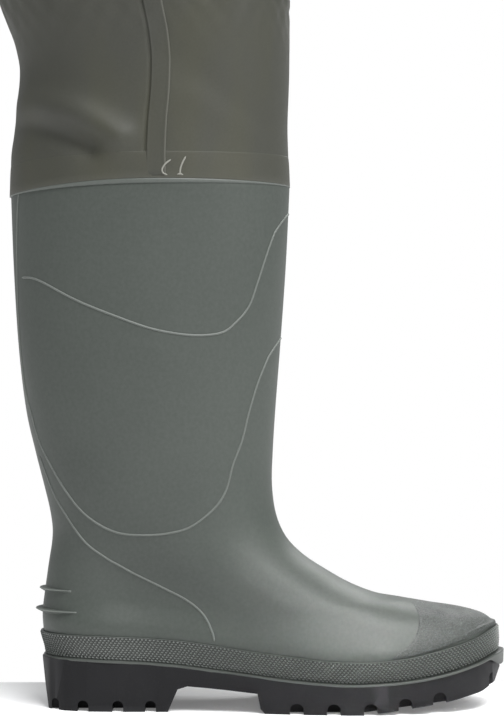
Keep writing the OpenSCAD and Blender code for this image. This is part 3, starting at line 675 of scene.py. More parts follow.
# Heights of the band's lip and rim along the foot
LIP_Z = np.array([[0, 33.2], [0.05, 33.5], [0.14, 32.6], [0.226, 31.2], [0.294, 29.4], [0.362, 26.9],
                  [0.454, 23.7], [0.52, 21.5], [0.59, 19.7], [0.656, 18.8], [0.724, 19.5], [0.79, 21.3],
                  [0.86, 24.8], [0.93, 30.2], [0.975, 34.6], [1, 36.6]])
RIM_Z = np.array([[0, 50.2], [0.11, 49.9], [0.2, 48.9], [0.285, 47.3], [0.37, 44.2], [0.45, 40.6],
                  [0.557, 36.9], [0.618, 34.9], [0.693, 34.2], [0.767, 36.1], [0.848, 40.8], [0.929, 47.2],
                  [0.984, 53.4], [1, 54]])
STUD_ROWS, STUD_PITCH, STUD_HALF = 10, 2.6, 1.0


def band_points(v, u, out):
    """A point of the band: v up it, u round the foot, out from the boot's surface."""
    v, u, out = np.broadcast_arrays(np.asarray(v, float), np.asarray(u, float), np.asarray(out, float))
    points = boot_points(np.clip(v, 0, 1), u, out)
    t = np.clip((HEEL_Y - points[..., 1]) / SOLE_LEN, 0, 1)
    # the lip hangs lower round the tip of the toe
    v = np.where(v < 0, v * (1 + 13 * step(t, 0.955, 0.99)), v)
    points[..., 2] = mix(smooth(LIP_Z, t), smooth(RIM_Z, t), v)
    points[..., 1] -= mix(2.1, 1.0, step(v, 0.09, 0.14)) * (1 - step(v, 0.3, 1.0))
    return points


def foxing_band():
    # up the band: share of its height, distance out, paleness: painted highlight on lip and rim, painted
    # shade elsewhere
    profile = np.array([
        [-0.03, 2.4, 0.0], [-0.03, 3.8, 0.1], [0.0, 4.1, 0.35], [0.035, 4.1, 0.35], [0.065, 3.8, 0.3],
        [0.085, 3.0, 0.15], [0.10, 1.6, 0.0], [0.115, 0.6, 0.0], [0.3, 0.95, 0.1], [0.5, 1.15, 0.1],
        [0.7, 1.35, 0.1], [0.955, 1.5, 0.05], [0.965, 1.75, 0.3], [0.98, 1.95, 0.6], [0.993, 1.85, 0.6],
        [1.0, 1.5, 0.3], [1.005, 0.2, 0.0]])
    up, out, pale = profile.T[:, :, None]
    u = np.arange(360) * 2 / 360
    outer, inner = band_points(up, u[None], out), band_points(up, u[None], 0.15)
    parts = [(*slab(outer, inner, wrap=True), np.repeat(pale, len(u)))]
    # the studs: small cut diamonds in staggered rows, with painted shade at their feet and painted highlight
    # on their tops
    fine = np.linspace(0, 2, 2001)
    run = travelled(band_points(0.5, fine, 1.2))
    count = int(round(run[-1] / STUD_PITCH))
    low, high = 0.11, 0.965
    du, dv = STUD_HALF / run[-1] * 2, (high - low) / STUD_ROWS * 0.72
    shape = [[0, 1, 5, 4], [1, 2, 6, 5], [2, 3, 7, 6], [3, 0, 4, 7], [4, 5, 6, 7], [3, 2, 1, 0]]
    for row in range(STUD_ROWS):
        v = mix(low, high, (row + 0.5) / STUD_ROWS)
        at = (np.arange(count) + 0.5 * (row % 2)) * run[-1] / count
        centre_u = np.interp(at, run, fine)
        ground = mix(0.6, 1.45, v)
        rings = [band_points(v + dv * b * size, centre_u + du * a * size, ground + stand)
                 for size, stand in ((1, -0.2), (0.4, 1.0)) for a, b in ((-1, 0), (0, -1), (1, 0), (0, 1))]
        parts.append((np.stack(rings, 1), copied(shape, 8, count), np.tile([0.15] * 4 + [0.95] * 4, count)))
    return joined(parts)


# Toe cap: section of the boot, and share of its length where the cap starts
CAP_STARTS = np.array([[0.98, 0.760], [1.5, 0.785], [2, 0.808], [3, 0.845], [4, 0.888], [5, 0.938],
                       [5.8, 0.982]])


def toe_cap():
    rows, cols = 92, 2 * 104 + 1
    p = np.linspace(CAP_STARTS[0, 0], CAP_STARTS[-1, 0], rows)
    starts = smooth(CAP_STARTS, p)
    fine = np.linspace(0, 1, 1601)
    u0 = np.array([np.interp(t0, foot_plan(np.full(len(fine), along(BOOT, q)[5]), fine)[:, 0], fine)
                   for q, t0 in zip(p, starts)])[:, None]
    across = np.linspace(-1, 1, cols)[None]
    u = np.where(across < 0, mix(1.0, u0, -across), 2 - mix(1.0, u0, across))
    flat = boot_points(p[:, None], u, 0.0)
    # distance to the cap's edge: its two sides and its top
    side = (1 - np.abs(across)) * np.linalg.norm(flat[:, :1] - flat[:, cols // 2:cols // 2 + 1], axis=-1)
    edge = np.minimum(side, np.linalg.norm(flat - flat[-1:, :], axis=-1))

    def lumps(scale, shift=(0, 0, 0)):
        values = [noise.noise(Vector(q) * scale + Vector(shift)) for q in flat.reshape(-1, 3)]
        return np.array(values).reshape(edge.shape)

    grain = lumps(0.95) + 0.6 * lumps(2.1, (9, 4, 2))
    lift = 0.1 + 0.4 * step(edge, 0.0, 1.6) + 0.2 * grain * step(edge, 0.6, 2.2)
    outer, inner = boot_points(p[:, None], u, lift), boot_points(p[:, None], u, -0.2)
    # painted highlight along the cap's edge and on the tops of the grain
    pale = step(edge, 0.2, 0.7) * (1 - step(edge, 0.9, 1.8)) * 0.35 + 0.5 * np.clip(grain, 0, 1)
    return (*slab(outer, inner), pale)


INSOLE_Z, INSOLE_DIP, INSOLE_F = 36.4, 16.7, 155


def felt_insole():
    u = np.arange(96) * 2 / 96
    centre = np.array([0, HEEL_Y - INSOLE_F, 0])
    rings = []
    profile = [(1.0, 0.2), (1.0, 3.6), (0.985, 4.3), (0.94, 4.6), (0.7, 4.7), (0.4, 4.8), (0.12, 4.8)]
    for shrink, up in profile:
        ring = centre + (boot_points(0.0, u, -6.2) - centre) * [shrink, mix(1, shrink, 0.55), 1]
        t = np.clip((HEEL_Y - ring[:, 1]) / SOLE_LEN, 0, 1)
        ring[:, 2] = INSOLE_Z - INSOLE_DIP * smooth(DIP, t) + up
        rings.append(ring)
    return capped(np.array(rings))


# ---- Garment ----

def leg_shape(s, z, out=0.0):
    """Points of the right half: s from the back or inseam (0) by the outer side (0.5) to the front (1)."""
    s, z, out = np.broadcast_arrays(np.asarray(s, float), np.asarray(z, float), np.asarray(out, float))
    out = out + smooth(HUG, z)
    mid, f, a, b = (smooth(LEG, z, k) for k in (1, 2, 3, 4))
    ta, tb = smooth(TORSO, z, 1) + out, smooth(TORSO, z, 2) + out
    rise = (z[..., None] + [-44, -22, 0, 22, 44] - CROTCH_Z) / RISE_H
    join = np.sin(np.radians(90) * np.clip(rise, 0, 1)) @ (np.array([1, 4, 6, 4, 1]) / 16)
    e = 2 / TORSO_ROUND
    sine, cosine = np.sin(np.pi * s), np.cos(np.pi * s)
    leg_x, leg_f = mid - (a + out) * np.cos(2 * np.pi * s), f - (b + out) * np.sin(2 * np.pi * s)
    torso_x = ta * np.abs(sine) ** e
    torso_f = TORSO_F - tb * np.sign(cosine) * np.abs(cosine) ** e
    return np.stack([-mix(leg_x, torso_x, join), HEEL_Y - mix(leg_f, torso_f, join), z], -1)


LEG_ROWS, BIB_ROWS, SIM_COLS = 66, 27, 72
SIM_FRAMES = 34
GROWTH = 0.045            # the fabric is cut this much larger than the body it hangs round
MAX_FOLD = 15.0


def height_of(q, s):
    """Height at row q: 0 the lower edge, 1 the waist, 2 the bib's edge."""
    return np.where(q <= 1, mix(cuff_z(s), WAIST_Z, q), mix(WAIST_Z, smooth(BIB_EDGE, s), q - 1))


def row_of(z, s):
    """The row at a height: the reverse of height_of."""
    low, high = cuff_z(s), smooth(BIB_EDGE, s)
    return np.where(z <= WAIST_Z, (z - low) / (WAIST_Z - low), 1 + (z - WAIST_Z) / (high - WAIST_Z))


def held(points, edge_gap):
    """How firmly each point is held: at the boots, the belt, the hem, the pocket and the back patch."""
    x, y, z = np.abs(points[..., 0]), points[..., 1], points[..., 2]
    at_boot = 1 - step(z, 430, 540)
    at_belt = 1 - step(np.abs(z - WAIST_Z), 22, 62)
    at_hem = 1 - step(edge_gap, 26, 80)
    pocket = (1 - step(x, 88, 120)) * step(z, 1062, 1088) * (y < 0)
    patch = (1 - step(x, 55, 85)) * step(z, 1130, 1160) * (y > 100)
    return np.maximum.reduce([at_boot, at_belt, at_hem, pocket, patch])


def simulate(points, faces, hold):
    """Hangs the fabric as cloth, cut a little larger than its shape, and returns where it comes to rest."""
    scene = bpy.context.scene
    mesh = bpy.data.meshes.new("cloth_run")
    mesh.from_pydata((points * MM).tolist(), [], faces)
    obj = bpy.data.objects.new("cloth_run", mesh)
    scene.collection.objects.link(obj)
    group = obj.vertex_groups.new(name="hold")
    for k in np.unique(np.round(hold, 2)):
        if k > 0:
            group.add(np.where(np.round(hold, 2) == k)[0].tolist(), float(k), "REPLACE")
    cloth = obj.modifiers.new("cloth", "CLOTH")
    s = cloth.settings
    s.quality, s.mass, s.air_damping = 6, 0.25, 2.0
    s.tension_stiffness = s.compression_stiffness = 25
    s.shear_stiffness, s.bending_stiffness = 12, 14
    s.tension_damping = s.compression_damping = 12
    s.bending_damping = 2
    s.vertex_group_mass, s.pin_stiffness = "hold", 1.0
    s.shrink_min = -GROWTH
    s.effector_weights.gravity = 0.5
    cloth.collision_settings.use_collision = False
    cloth.collision_settings.use_self_collision = False
    cloth.point_cache.frame_start, cloth.point_cache.frame_end = 1, SIM_FRAMES
    for k in range(1, SIM_FRAMES + 1):
        scene.frame_set(k)
    shown = obj.evaluated_get(bpy.context.evaluated_depsgraph_get())
    result = np.zeros(len(points) * 3, np.float32)
    shown.data.vertices.foreach_get("co", result)
    bpy.data.objects.remove(obj)
    bpy.data.meshes.remove(mesh)
    scene.frame_set(1)
    return result.reshape(-1, 3).astype(float) / MM


def hung():
    """How far the fabric hangs from its plain shape: a grid for each half, in the right half's frame."""
    q = np.concatenate([np.linspace(0, 1, LEG_ROWS + 1), 1 + np.linspace(0, 1, BIB_ROWS + 1)[1:]])[:, None]
    s = np.linspace(0, 1, SIM_COLS + 1)[None]
    q, s = np.broadcast_arrays(q, s)
    plain = leg_shape(s, height_of(q, s))
    gap = smooth(BIB_EDGE, s) - plain[..., 2] + 1000 * (q < 1)
    hold = held(plain, gap)
    both = np.stack([plain, plain * [-1, 1, 1]])
    # a gentle uneven start, different on each leg
    x, y, z = both[..., 0], both[..., 1], both[..., 2]
    ripple = (np.sin(z / 31 + x / 47 + 0.6 * np.sin(y / 39)) + 0.7 * np.sin(z / 57 - y / 33 + x / 90)) * 1.1
    ripple = ripple + 0.8 * np.sin(x / 22 + z / 140)
    normal = unit(leg_shape(s, plain[..., 2], 1.0) - plain)
    start = both + np.stack([normal, normal * [-1, 1, 1]]) * (ripple * (1 - hold))[..., None]
    flat = both.reshape(-1, 3)
    _, first, where = np.unique(np.round(flat, 2), axis=0, return_index=True, return_inverse=True)
    where = where.ravel()
    n = q.size
    faces = np.concatenate([quads(*q.shape), quads(*q.shape, start=n)[:, ::-1]])
    faces = where[faces]
    rest = simulate(start.reshape(-1, 3)[first], faces.tolist(), np.stack([hold, hold]).ravel()[first])
    moved = (rest[where] - flat).reshape(both.shape)
    size = np.linalg.norm(moved, axis=-1, keepdims=True)
    moved = moved * MAX_FOLD * np.tanh(size / MAX_FOLD) / np.maximum(size, 1e-6)
    moved = moved * (1 - np.stack([hold, hold])[..., None] ** 4)
    moved[1, ..., 0] *= -1
    return {"right": moved[0], "left": moved[1]}


FOLDS = hung()

# Creases just above the boot: (f, z) marks, half width, depth (in) or height (out)
CREASES = [
    ([(-20, 404), (4, 401), (28, 392), (54, 376)], 10.5, 5.6),
    ([(-30, 387), (-6, 385), (14, 379), (34, 371)], 8.5, -5.2),
    ([(84, 436), (112, 408), (146, 388)], 14.0, -1.2),
    ([(104, 404), (130, 386), (156, 378)], 9.0, 0.8),
]


def crease_depth(f, z):
    total = 0.0 * f
    for marks, width, depth in CREASES:
        marks = np.array(marks, float)
        near = np.full(np.shape(f), 1e9)
        for a, b in zip(marks[:-1], marks[1:]):
            d = b - a
            t = np.clip(((f - a[0]) * d[0] + (z - a[1]) * d[1]) / (d @ d), 0, 1)
            near = np.minimum(near, (f - a[0] - t * d[0]) ** 2 + (z - a[1] - t * d[1]) ** 2)
        total = total + depth * np.exp(-near / width**2)
    return total


def cloth_points(side, s, z, out=0.0):
    """Points on the hung fabric of one half, in the right half's frame."""
    s, z, out = np.broadcast_arrays(np.asarray(s, float), np.asarray(z, float), np.asarray(out, float))
    plain = leg_shape(s, z)
    on_side = np.abs(np.cos(2 * np.pi * s)) ** 0.8
    crease = crease_depth(HEEL_Y - plain[..., 1], z) * on_side * (1 - step(z, 440, 500))
    q = row_of(z, s)
    rows = np.where(q <= 1, q * LEG_ROWS, LEG_ROWS + (q - 1) * BIB_ROWS)
    points = leg_shape(s, z, out + crease) + sampled(FOLDS[side], rows, s * SIM_COLS)
    # the two halves keep to their own side of the middle
    inner = (s < 0.12) | (s > 0.88)
    kept_x = np.minimum(points[..., 0], np.maximum(plain[..., 0], -0.6))
    points[..., 0] = np.where(inner, kept_x, points[..., 0])
    return points


PANELS = {"front": (0.5, 1.0), "back": (0.0, 0.5)}


def leg_panel(side, which):
    cols, rows = 92, 150
    s = np.broadcast_to(np.linspace(*PANELS[which], cols)[None], (rows, cols))
    # closer rows near the boot
    share = np.linspace(0, 1, rows)[:, None]
    z = mix(cuff_z(s), WAIST_Z, 0.55 * share + 0.45 * share**2)
    points = cloth_points(side, s, z)
    obj = piece(f"{side}_leg_{which}_panel", points, quads(rows, cols), "root", "coated_fabric", CLOTH, side,
                cloth=paired(travelled(points[rows // 2]), z), node=f"{side}_leg_{which}")
    thicken(obj, FABRIC_SHEET)


def bib_panel(which):
    cols, rows = 96, 64
    s = np.broadcast_to(np.linspace(*PANELS[which], cols)[None], (rows, cols))
    z = mix(WAIST_Z, smooth(BIB_EDGE, s), np.linspace(0, 1, rows)[:, None])
    right, left = cloth_points("right", s, z), cloth_points("left", s, z) * [-1, 1, 1]
    if which == "front":
        points = np.concatenate([right, left[:, -2::-1]], 1)
    else:
        points = np.concatenate([left[:, ::-1], right[:, 1:]], 1)
    obj = piece(f"bib_{which}_panel", points, quads(*points.shape[:2]), "root", "coated_fabric", CLOTH,
                cloth=paired(travelled(points[0])[None, :], points[..., 2]), node="bib_" + which)
    thicken(obj, FABRIC_SHEET)


SEAM_PROFILE = [(-1, 0.1), (-0.985, 0.5), (-0.9, 0.62), (-0.7, 0.66), (-0.2, 0.7), (0.4, 0.72), (0.75, 0.8),
                (0.87, 1.0), (0.95, 0.98), (1, 0.1)]
# Paleness across the tape: a painted highlight on its front ridge and a faint one by its rear edge
SEAM_PAINTED_LIGHT = [0, 0, 0.05, 0, 0, 0, 0, 0.2, 0.26, 0.1]
SEAM_AHEAD = 7.0          # the seams run this far in front of the middle of the leg
SEAM_LOW, SEAM_STEP, SEAM_HALF = 351, 4, 6.2


def seam_tape(name, side, on_outside, top, node):
    """A strip up the fabric; its profile is (share across, distance out)."""
    z = np.linspace(SEAM_LOW, top, int((top - SEAM_LOW) / SEAM_STEP))
    ahead = np.arcsin(SEAM_AHEAD / smooth(LEG, z, 4)) / (2 * np.pi)
    s_mid = 0.5 + ahead if on_outside else 1 - ahead
    gap = 0.004
    a, b = cloth_points(side, s_mid - gap, z), cloth_points(side, s_mid + gap, z)
    per_mm = 2 * gap / np.maximum(np.linalg.norm(b - a, axis=-1), 1e-6)
    grid, back = (np.stack([cloth_points(side, s_mid + share * SEAM_HALF * per_mm, z, out if raised else 0.05)
                            for share, out in SEAM_PROFILE], 1) for raised in (True, False))
    cloth = paired(np.array([share * 6.4 for share, _ in SEAM_PROFILE])[None], z[:, None])
    obj = piece(name, *slab(grid, back), "root", "weld_band", TAPE, side, painted_light=np.tile(SEAM_PAINTED_LIGHT, len(z)),
                cloth=cloth, node=node)


CUFF_TALL, CUFF_ROUND = 20.5, 505
# Up the weld band: share of its height, distance out, paleness (a painted highlight on its lower lip)
CUFF_PROFILE = [(0.0, 0.05, 0), (0.01, 0.5, 0.1), (0.05, 0.7, 0.05), (0.3, 0.55, 0), (0.6, 0.45, 0),
                (0.8, 0.32, 0), (0.9, 0.22, 0), (0.96, 0.13, 0), (1.0, 0.06, 0), (1.01, 0.0, 0)]
# Short raised creases in the weld, just in front of the seam, as (f, z), painted pale as a highlight
WELD_CREASES = [[(88.5, 361.5), (84.6, 358.6), (82.6, 355.2), (83.4, 352.8), (86.2, 351.5)],
                [(98.5, 363.8), (96.2, 359.6), (94.8, 355.6), (94.6, 351.6)],
                [(92.6, 351.8), (94.6, 352.4), (96.8, 351.6)]]


def weld_cuff(side):
    s = np.linspace(0, 1, 181)[:-1]
    high = collar_height(s)
    ripple = 0.25 * (0.35 * np.sin(2 * np.pi * s * 5 + 5) + 0.25 * np.sin(2 * np.pi * s * 11))

    def row(up, out):
        z = cuff_z(s) - CUFF_LOW + high + up * (CUFF_TALL - high)
        return cloth_points(side, s, z, out + (ripple if 0.1 < up < 0.95 else 0.0))

    up, out, pale = zip(*CUFF_PROFILE)
    outer, inner = np.stack([row(*p) for p in zip(up, out)]), np.stack([row(v, -0.1) for v in up])
    parts = [(*slab(outer, inner, wrap=True), np.repeat(pale, len(s)))]
    for marks in WELD_CREASES:
        f, z = along(marks, np.linspace(0, len(marks) - 1, 26)).T
        s_at = 0.5 + np.arcsin((f - smooth(LEG, z, 2)) / (smooth(LEG, z, 4) + 1.3)) / (2 * np.pi)
        path = cloth_points(side, s_at, z, 0.6)
        out = unit(cloth_points(side, s_at, z, 1.6) - path)
        parts.append((*tube(path, out, 0.62, 0.55, taper=1.5), 0.95))
    points, faces, painted_light = joined(parts)
    cloth = paired((s * CUFF_ROUND)[None], np.array(up)[:, None] * CUFF_TALL).reshape(-1, 2)
    beads = np.zeros((len(points) - 2 * len(cloth), 2))
    obj = piece(side + "_weld_cuff", points, faces, "root", "weld_band", WELD, side, painted_light=painted_light,
                cloth=np.concatenate([cloth, cloth, beads]), node=side + "_cuff_band")


def rise_tape(which):
    """The tape up the middle of the front or the back, made of a half from each side."""
    front = which == "front"
    z = np.linspace(836, 996, 46)
    middle, way = (1.0, -1) if front else (0.0, 1)
    gap, half_width = 0.004, 6.5
    share = np.array([1, 0.9, 0.5, 0.15])
    out = np.array([0.1, 1.15, 0.95, 0.95])
    halves = []
    for side, sign in (("right", 1), ("left", -1)):
        at_gap, at_middle = (cloth_points(side, np.full(len(z), s), z) for s in (middle + way * gap, middle))
        per_mm = gap / np.maximum(np.linalg.norm(at_gap - at_middle, axis=-1), 1e-6)
        cols = [cloth_points(side, middle + way * h * half_width * per_mm, z) + [0, way * o, 0]
                for h, o in zip(share, out)]
        halves.append(np.stack(cols, 1) * [sign, 1, 1])
    first, second = halves if front else halves[::-1]
    grid = np.concatenate([first, second[:, ::-1]], 1)
    shift = np.concatenate([out, out[::-1]]) - 0.05
    back = grid - np.array([0, way, 0]) * shift[None, :, None]
    obj = piece(which + "_rise_tape", *slab(grid, back), "root", "weld_band", TAPE,
                cloth=paired(np.arange(8)[None] * 1.8, z[:, None]), node=which + "_rise_seam")


HEM_TALL = 24.0
# Round the hem: how far below the bib's edge, distance out
HEM_PROFILE = [(HEM_TALL, 0.1), (HEM_TALL - 0.1, 1.1), (HEM_TALL - 1.2, 1.35), (HEM_TALL - 4, 1.0),
               (HEM_TALL / 2, 1.15), (4, 1.2), (1.2, 1.3), (0.2, 0.9), (-0.35, 0.1), (-0.35, -1.2),
               (0.2, -2.0), (1.2, -2.3), (4, -2.2), (HEM_TALL / 2, -2.1), (HEM_TALL - 2, -2.1),
               (HEM_TALL, -1.1)]


def hem_ring(up, out, n=150):
    """A ring round the bib, up mm below its edge, from the back middle by the right and the front."""
    s = np.linspace(0, 1, n + 1)
    edge = smooth(BIB_EDGE, s)
    halves = []
    for side, sign in (("right", 1), ("left", -1)):
        points = cloth_points(side, s, np.minimum(edge - up, edge), out) * [sign, 1, 1]
        points[:, 2] = edge - up
        halves.append(points)
    return np.concatenate([halves[0][:-1], halves[1][:0:-1]])


def top_hem():
    rows = np.stack([hem_ring(up, out) for up, out in HEM_PROFILE])
    cloth = paired(travelled(rows[4])[None], np.array([up for up, _ in HEM_PROFILE])[:, None])
    faces = quads(*rows.shape[:2], wrap=True)
    obj = piece("top_hem_band", rows, faces, "root", "weld_band", TAPE, cloth=cloth, node="top_hem")
    thicken(obj, 0.5)
    stitches = []
    for up in (HEM_TALL - 3.2, 3.4):
        path, out = (np.concatenate([ring, ring[:1]]) for ring in (hem_ring(up, 1.12), hem_ring(up, 2.12)))
        stitches.append(dashes(path, unit(out - path)))
    sewn = piece("hem_stitching", *joined(stitches)[:2], "root", "weld_band", THREAD)


def torso_f(x, z, way=1):
    """How far forward the plain front (way 1) or back (way -1) of the body is."""
    a, b = smooth(TORSO, z, 1), smooth(TORSO, z, 2)
    return TORSO_F + way * b * (1 - np.clip(np.abs(x) / a, 0, 1) ** TORSO_ROUND) ** (1 / TORSO_ROUND)


POCKET_HALF, POCKET_Z, MOUTH_Z, POCKET_DEEP = 78.0, 1095.0, 1222.0, 10.0
FLAP_TOP, FLAP_DROP, FLAP_HALF = 1235.0, 58.0, 83.0


def rise_curve(v):
    return np.sin(np.pi / 2 * np.clip(v, 0, 1))


def chest_pocket():
    even = np.linspace(-1, 1, 97)[None]
    share = np.sign(even) * (1 - (1 - np.abs(even)) ** 1.25)
    up = np.concatenate([np.linspace(0, 16, 15), np.linspace(16, MOUTH_Z - POCKET_Z, 40)[1:]])[:, None]
    x, z = np.broadcast_arrays(share * POCKET_HALF, POCKET_Z + up)
    edge_x, edge_z = (1 - np.abs(share)) * POCKET_HALF, up
    corner = 9.0
    # rounded lower corners: the edge distance falls to nothing outside a quarter circle
    near = (edge_x < corner) & (edge_z < corner)
    deep = np.where(near, corner - np.hypot(corner - edge_x, corner - edge_z), np.minimum(edge_x, edge_z))
    swell = rise_curve((deep - 4.5) / 9)
    slump = 1.4 * np.exp(-((up - 34) / 30) ** 2) * np.cos(np.pi / 2 * share) ** 0.5
    wrinkle = 0.35 * np.sin(x / 9 + z / 23) * np.exp(-((up - 20) / 22) ** 2)
    out = 1.7 + np.minimum(POCKET_DEEP * swell * 0.94 + (slump + wrinkle) * swell, POCKET_DEEP + 0.6)
    weld = 0.35 * np.exp(-((deep - 2.6) / 0.5) ** 2)
    points = np.stack([x, HEEL_Y - (torso_f(x, z) + out - weld), z], -1)
    keep = (deep > -0.4).ravel()
    faces = [q for q in quads(*x.shape).tolist() if keep[q].all()]
    # a painted highlight in a line just inside the pouch's welded edge
    obj = piece("chest_pocket_pouch", points, faces, "root", "coated_fabric", CLOTH, cloth=paired(x, z),
                painted_light=0.12 * np.exp(-((deep - 3.9) / 0.5) ** 2), node="chest_pocket")
    thicken(obj, FABRIC_SHEET)


FLAP_ROWS = np.array([[0, -9.2], [4, -3.5], [10, 1.5], [18, 3], [30, 3.8], [58, 4.2]])
FLAP_CORNER, FLAP_INSET = 12.0, 2.6


def flap_points(x, drop, out):
    z = FLAP_TOP - drop
    f = torso_f(x, z) + POCKET_DEEP + smooth(FLAP_ROWS, drop) + out
    return np.stack([x, HEEL_Y - f, z + 0 * x], -1)


def flap_thread():
    """The line sewn round the flap's sides and lower edge."""
    side_x, low_drop = FLAP_HALF - FLAP_CORNER, FLAP_DROP - FLAP_CORNER
    turn, radius = np.linspace(0, np.pi / 2, 14), FLAP_CORNER - FLAP_INSET
    xs = np.concatenate([np.full(30, FLAP_HALF - FLAP_INSET), side_x + radius * np.cos(turn),
                         mix(side_x, 0, np.linspace(0, 1, 60))])
    drops = np.concatenate([np.linspace(6, low_drop, 30), low_drop + radius * np.sin(turn),
                            np.full(60, FLAP_DROP - FLAP_INSET)])
    path = flap_points(np.concatenate([xs, -xs[::-1]]), np.concatenate([drops, drops[::-1]]), 1.6)
    return dashes(path, np.tile([0.0, -1.0, 0.0], (len(path), 1)))


def pocket_flap():
    share = np.linspace(-1, 1, 81)[None]
    low_drop = FLAP_DROP - FLAP_CORNER
    drop = np.concatenate([np.linspace(0, low_drop, 26), np.linspace(low_drop, FLAP_DROP, 15)[1:]])
    short = np.clip(drop - low_drop, 0, FLAP_CORNER)
    half = FLAP_HALF - FLAP_CORNER + np.sqrt(np.maximum(FLAP_CORNER**2 - short**2, 0.0))
    half = np.where(short > 0, half, FLAP_HALF)[:, None]
    x, d = np.broadcast_arrays(share * half, drop[:, None])
    rim = np.minimum((1 - np.abs(share)) * half, FLAP_DROP - d)
    bind = step(4.2 - rim, 0, 0.8)
    bend = np.clip(0.5 * np.sin(x / 38 + 0.8) * step(d, 20, 58), -0.1, 0.5)
    outer, inner = (flap_points(x, d, out)[::-1] for out in (1.15 + 0.35 * bind + bend, 0.1))
    # the binding round the flap is painted paler: a painted highlight
    obj = piece("pocket_flap_cover", *slab(outer, inner), "flap", "coated_fabric", CLOTH,
                cloth=paired(x, d)[::-1], painted_light=0.1 * bind[::-1], node="pocket_flap")
    sharpen(obj, 50)
    sewn = piece("flap_stitching", *flap_thread(), "flap", "coated_fabric", THREAD)


YOKE_HALF, YOKE_LOW, YOKE_HIGH, YOKE_INSET = 47.5, 1178, 1229, 4


def back_yoke():
    x, z = np.broadcast_arrays(np.linspace(-YOKE_HALF, YOKE_HALF, 61)[None],
                               np.linspace(YOKE_LOW, YOKE_HIGH, 34)[:, None])
    edge = np.minimum(YOKE_HALF - np.abs(x), np.minimum(z - YOKE_LOW, YOKE_HIGH - z))
    out = 0.95 + 0.35 * np.exp(-((edge - 0.9) / 0.8) ** 2) - 0.3 * np.exp(-((edge - 4) / 0.7) ** 2)
    plain = np.stack([x, HEEL_Y - torso_f(x, z, -1), z], -1)
    outer, inner = plain.copy(), plain.copy()
    outer[..., 1] += out
    inner[..., 1] += 0.35
    obj = piece("back_yoke_patch", *slab(outer[:, ::-1], inner[:, ::-1]), "root", "weld_band", TAPE,
                cloth=paired(x, z), node="back_yoke")
    side, low, high = YOKE_HALF - YOKE_INSET, YOKE_LOW + YOKE_INSET, YOKE_HIGH - YOKE_INSET
    ring = np.array([(-side, low), (side, low), (side, high), (-side, high), (-side, low)])
    x, z = np.concatenate([np.linspace(p, q, 20) for p, q in zip(ring[:-1], ring[1:])]).T
    path = np.stack([x, HEEL_Y - torso_f(x, z, -1) + 0.75, z], -1)
    stitches = dashes(path, np.tile([0.0, 1.0, 0.0], (len(path), 1)))
    sewn = piece("yoke_stitching", *stitches, "root", "weld_band", THREAD)


# ---- Braces, tabs and belt ----

BRACE_X, BRACE_F, BRACE_TURN = 112.0, 224.0, -12.0
LAYER_X, LAYER_F = LOOP_Y * math.sin(math.radians(BRACE_TURN)), LOOP_Y * math.cos(math.radians(BRACE_TURN))
# Middle line of the webbing, (x, f, z, turn about z in degrees): round the buckle's bar and over the shoulder
BRACE_ROUTE = np.array(
    [[-BRACE_X + k * LAYER_X, BRACE_F + k * LAYER_F, z, BRACE_TURN] for k, z in
     [(1, 1400), (1, 1384), (1, 1366), (0.9, 1357), (0, 1353.6), (-0.9, 1357), (-1, 1366), (-1, 1410),
      (-1, 1452)]]
    + [[-112, 212, 1480, -10], [-112, 188, 1499, -6], [-111, 148, 1506, 0], [-106, 100, 1502, 0],
       [-97, 50, 1487, 2], [-83, 8, 1454, 6], [-65, -26, 1406, 8], [-48, -52, 1348, 6],
       [-36, -70, 1290, 4], [-30, -75.8, 1258, 2], [-27, -77, 1235, 0], [-26, -77.2, 1200, 0]])
BAR_BOTTOM = 4            # row of the route where the webbing turns round the buckle's bar


def brace_line(low, high, count):
    route = along(BRACE_ROUTE, np.linspace(low, high, count))
    turn = np.radians(route[:, 3])
    path = np.stack([route[:, 0], HEEL_Y - route[:, 1], route[:, 2]], -1)
    return path, np.stack([np.cos(turn), np.sin(turn), 0 * turn], -1)


def box_stitches(path, across, first, last):
    """A sewn box with a cross on a strap, between two places along its path."""
    way = unit(np.gradient(path, axis=0))
    across = unit(across - way * (across * way).sum(-1, keepdims=True))
    frames = np.concatenate([path, across, np.cross(way, across)], 1)
    run = travelled(path)
    w = STRAP_W / 2 - 3
    marks = [(-w, first), (w, first), (w, last), (-w, last), (-w, first), (w, last), (w, first), (-w, last)]
    parts = []
    for a, b in zip(marks[:-1], marks[1:]):
        line = np.linspace(a, b, 24)
        at, side, up = np.split(read_at(line[:, 1], run, frames), 3, axis=1)
        parts += [dashes(at + side * line[:, :1] + sign * up * (STRAP_T / 2 - 0.05), sign * up, 3.0, 2.2)
                  for sign in (1, -1)]
    return joined(parts)[:2]


def strap(name, path, across, body, slot, material, thickness=STRAP_T, **more):
    """A piece of webbing along a path."""
    points, faces, cloth = ribbon(path, across, STRAP_W, thickness)
    return piece(name, points, faces, body, slot, material, cloth=cloth, **more)


def braces(side):
    last = len(BRACE_ROUTE) - 1
    path, across = brace_line(BAR_BOTTOM, last, 260)
    long = strap(side + "_brace_webbing", path, across, None, "elastic_webbing", ELASTIC, side=side,
                 node=side + "_brace")
    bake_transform(long)
    path, across = brace_line(0, BAR_BOTTOM, 60)
    fold = strap(side + "_brace_fold", path[::-1], across[::-1], None, "elastic_webbing", ELASTIC, side=side)
    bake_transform(fold)
    sewn = box_stitches(*brace_line(last - 2, last, 60), 32, 54)
    piece(side + "_brace_stitching", *sewn, "root", "elastic_webbing", THREAD, side)


def at_brace(points):
    """Points of a buckle's own frame (across, y, z) in the right half's frame."""
    turn = math.radians(BRACE_TURN)
    x, y = points[..., 0], points[..., 1]
    return np.stack([-BRACE_X + x * math.cos(turn) - y * math.sin(turn),
                     HEEL_Y - BRACE_F + x * math.sin(turn) + y * math.cos(turn), points[..., 2]], -1)


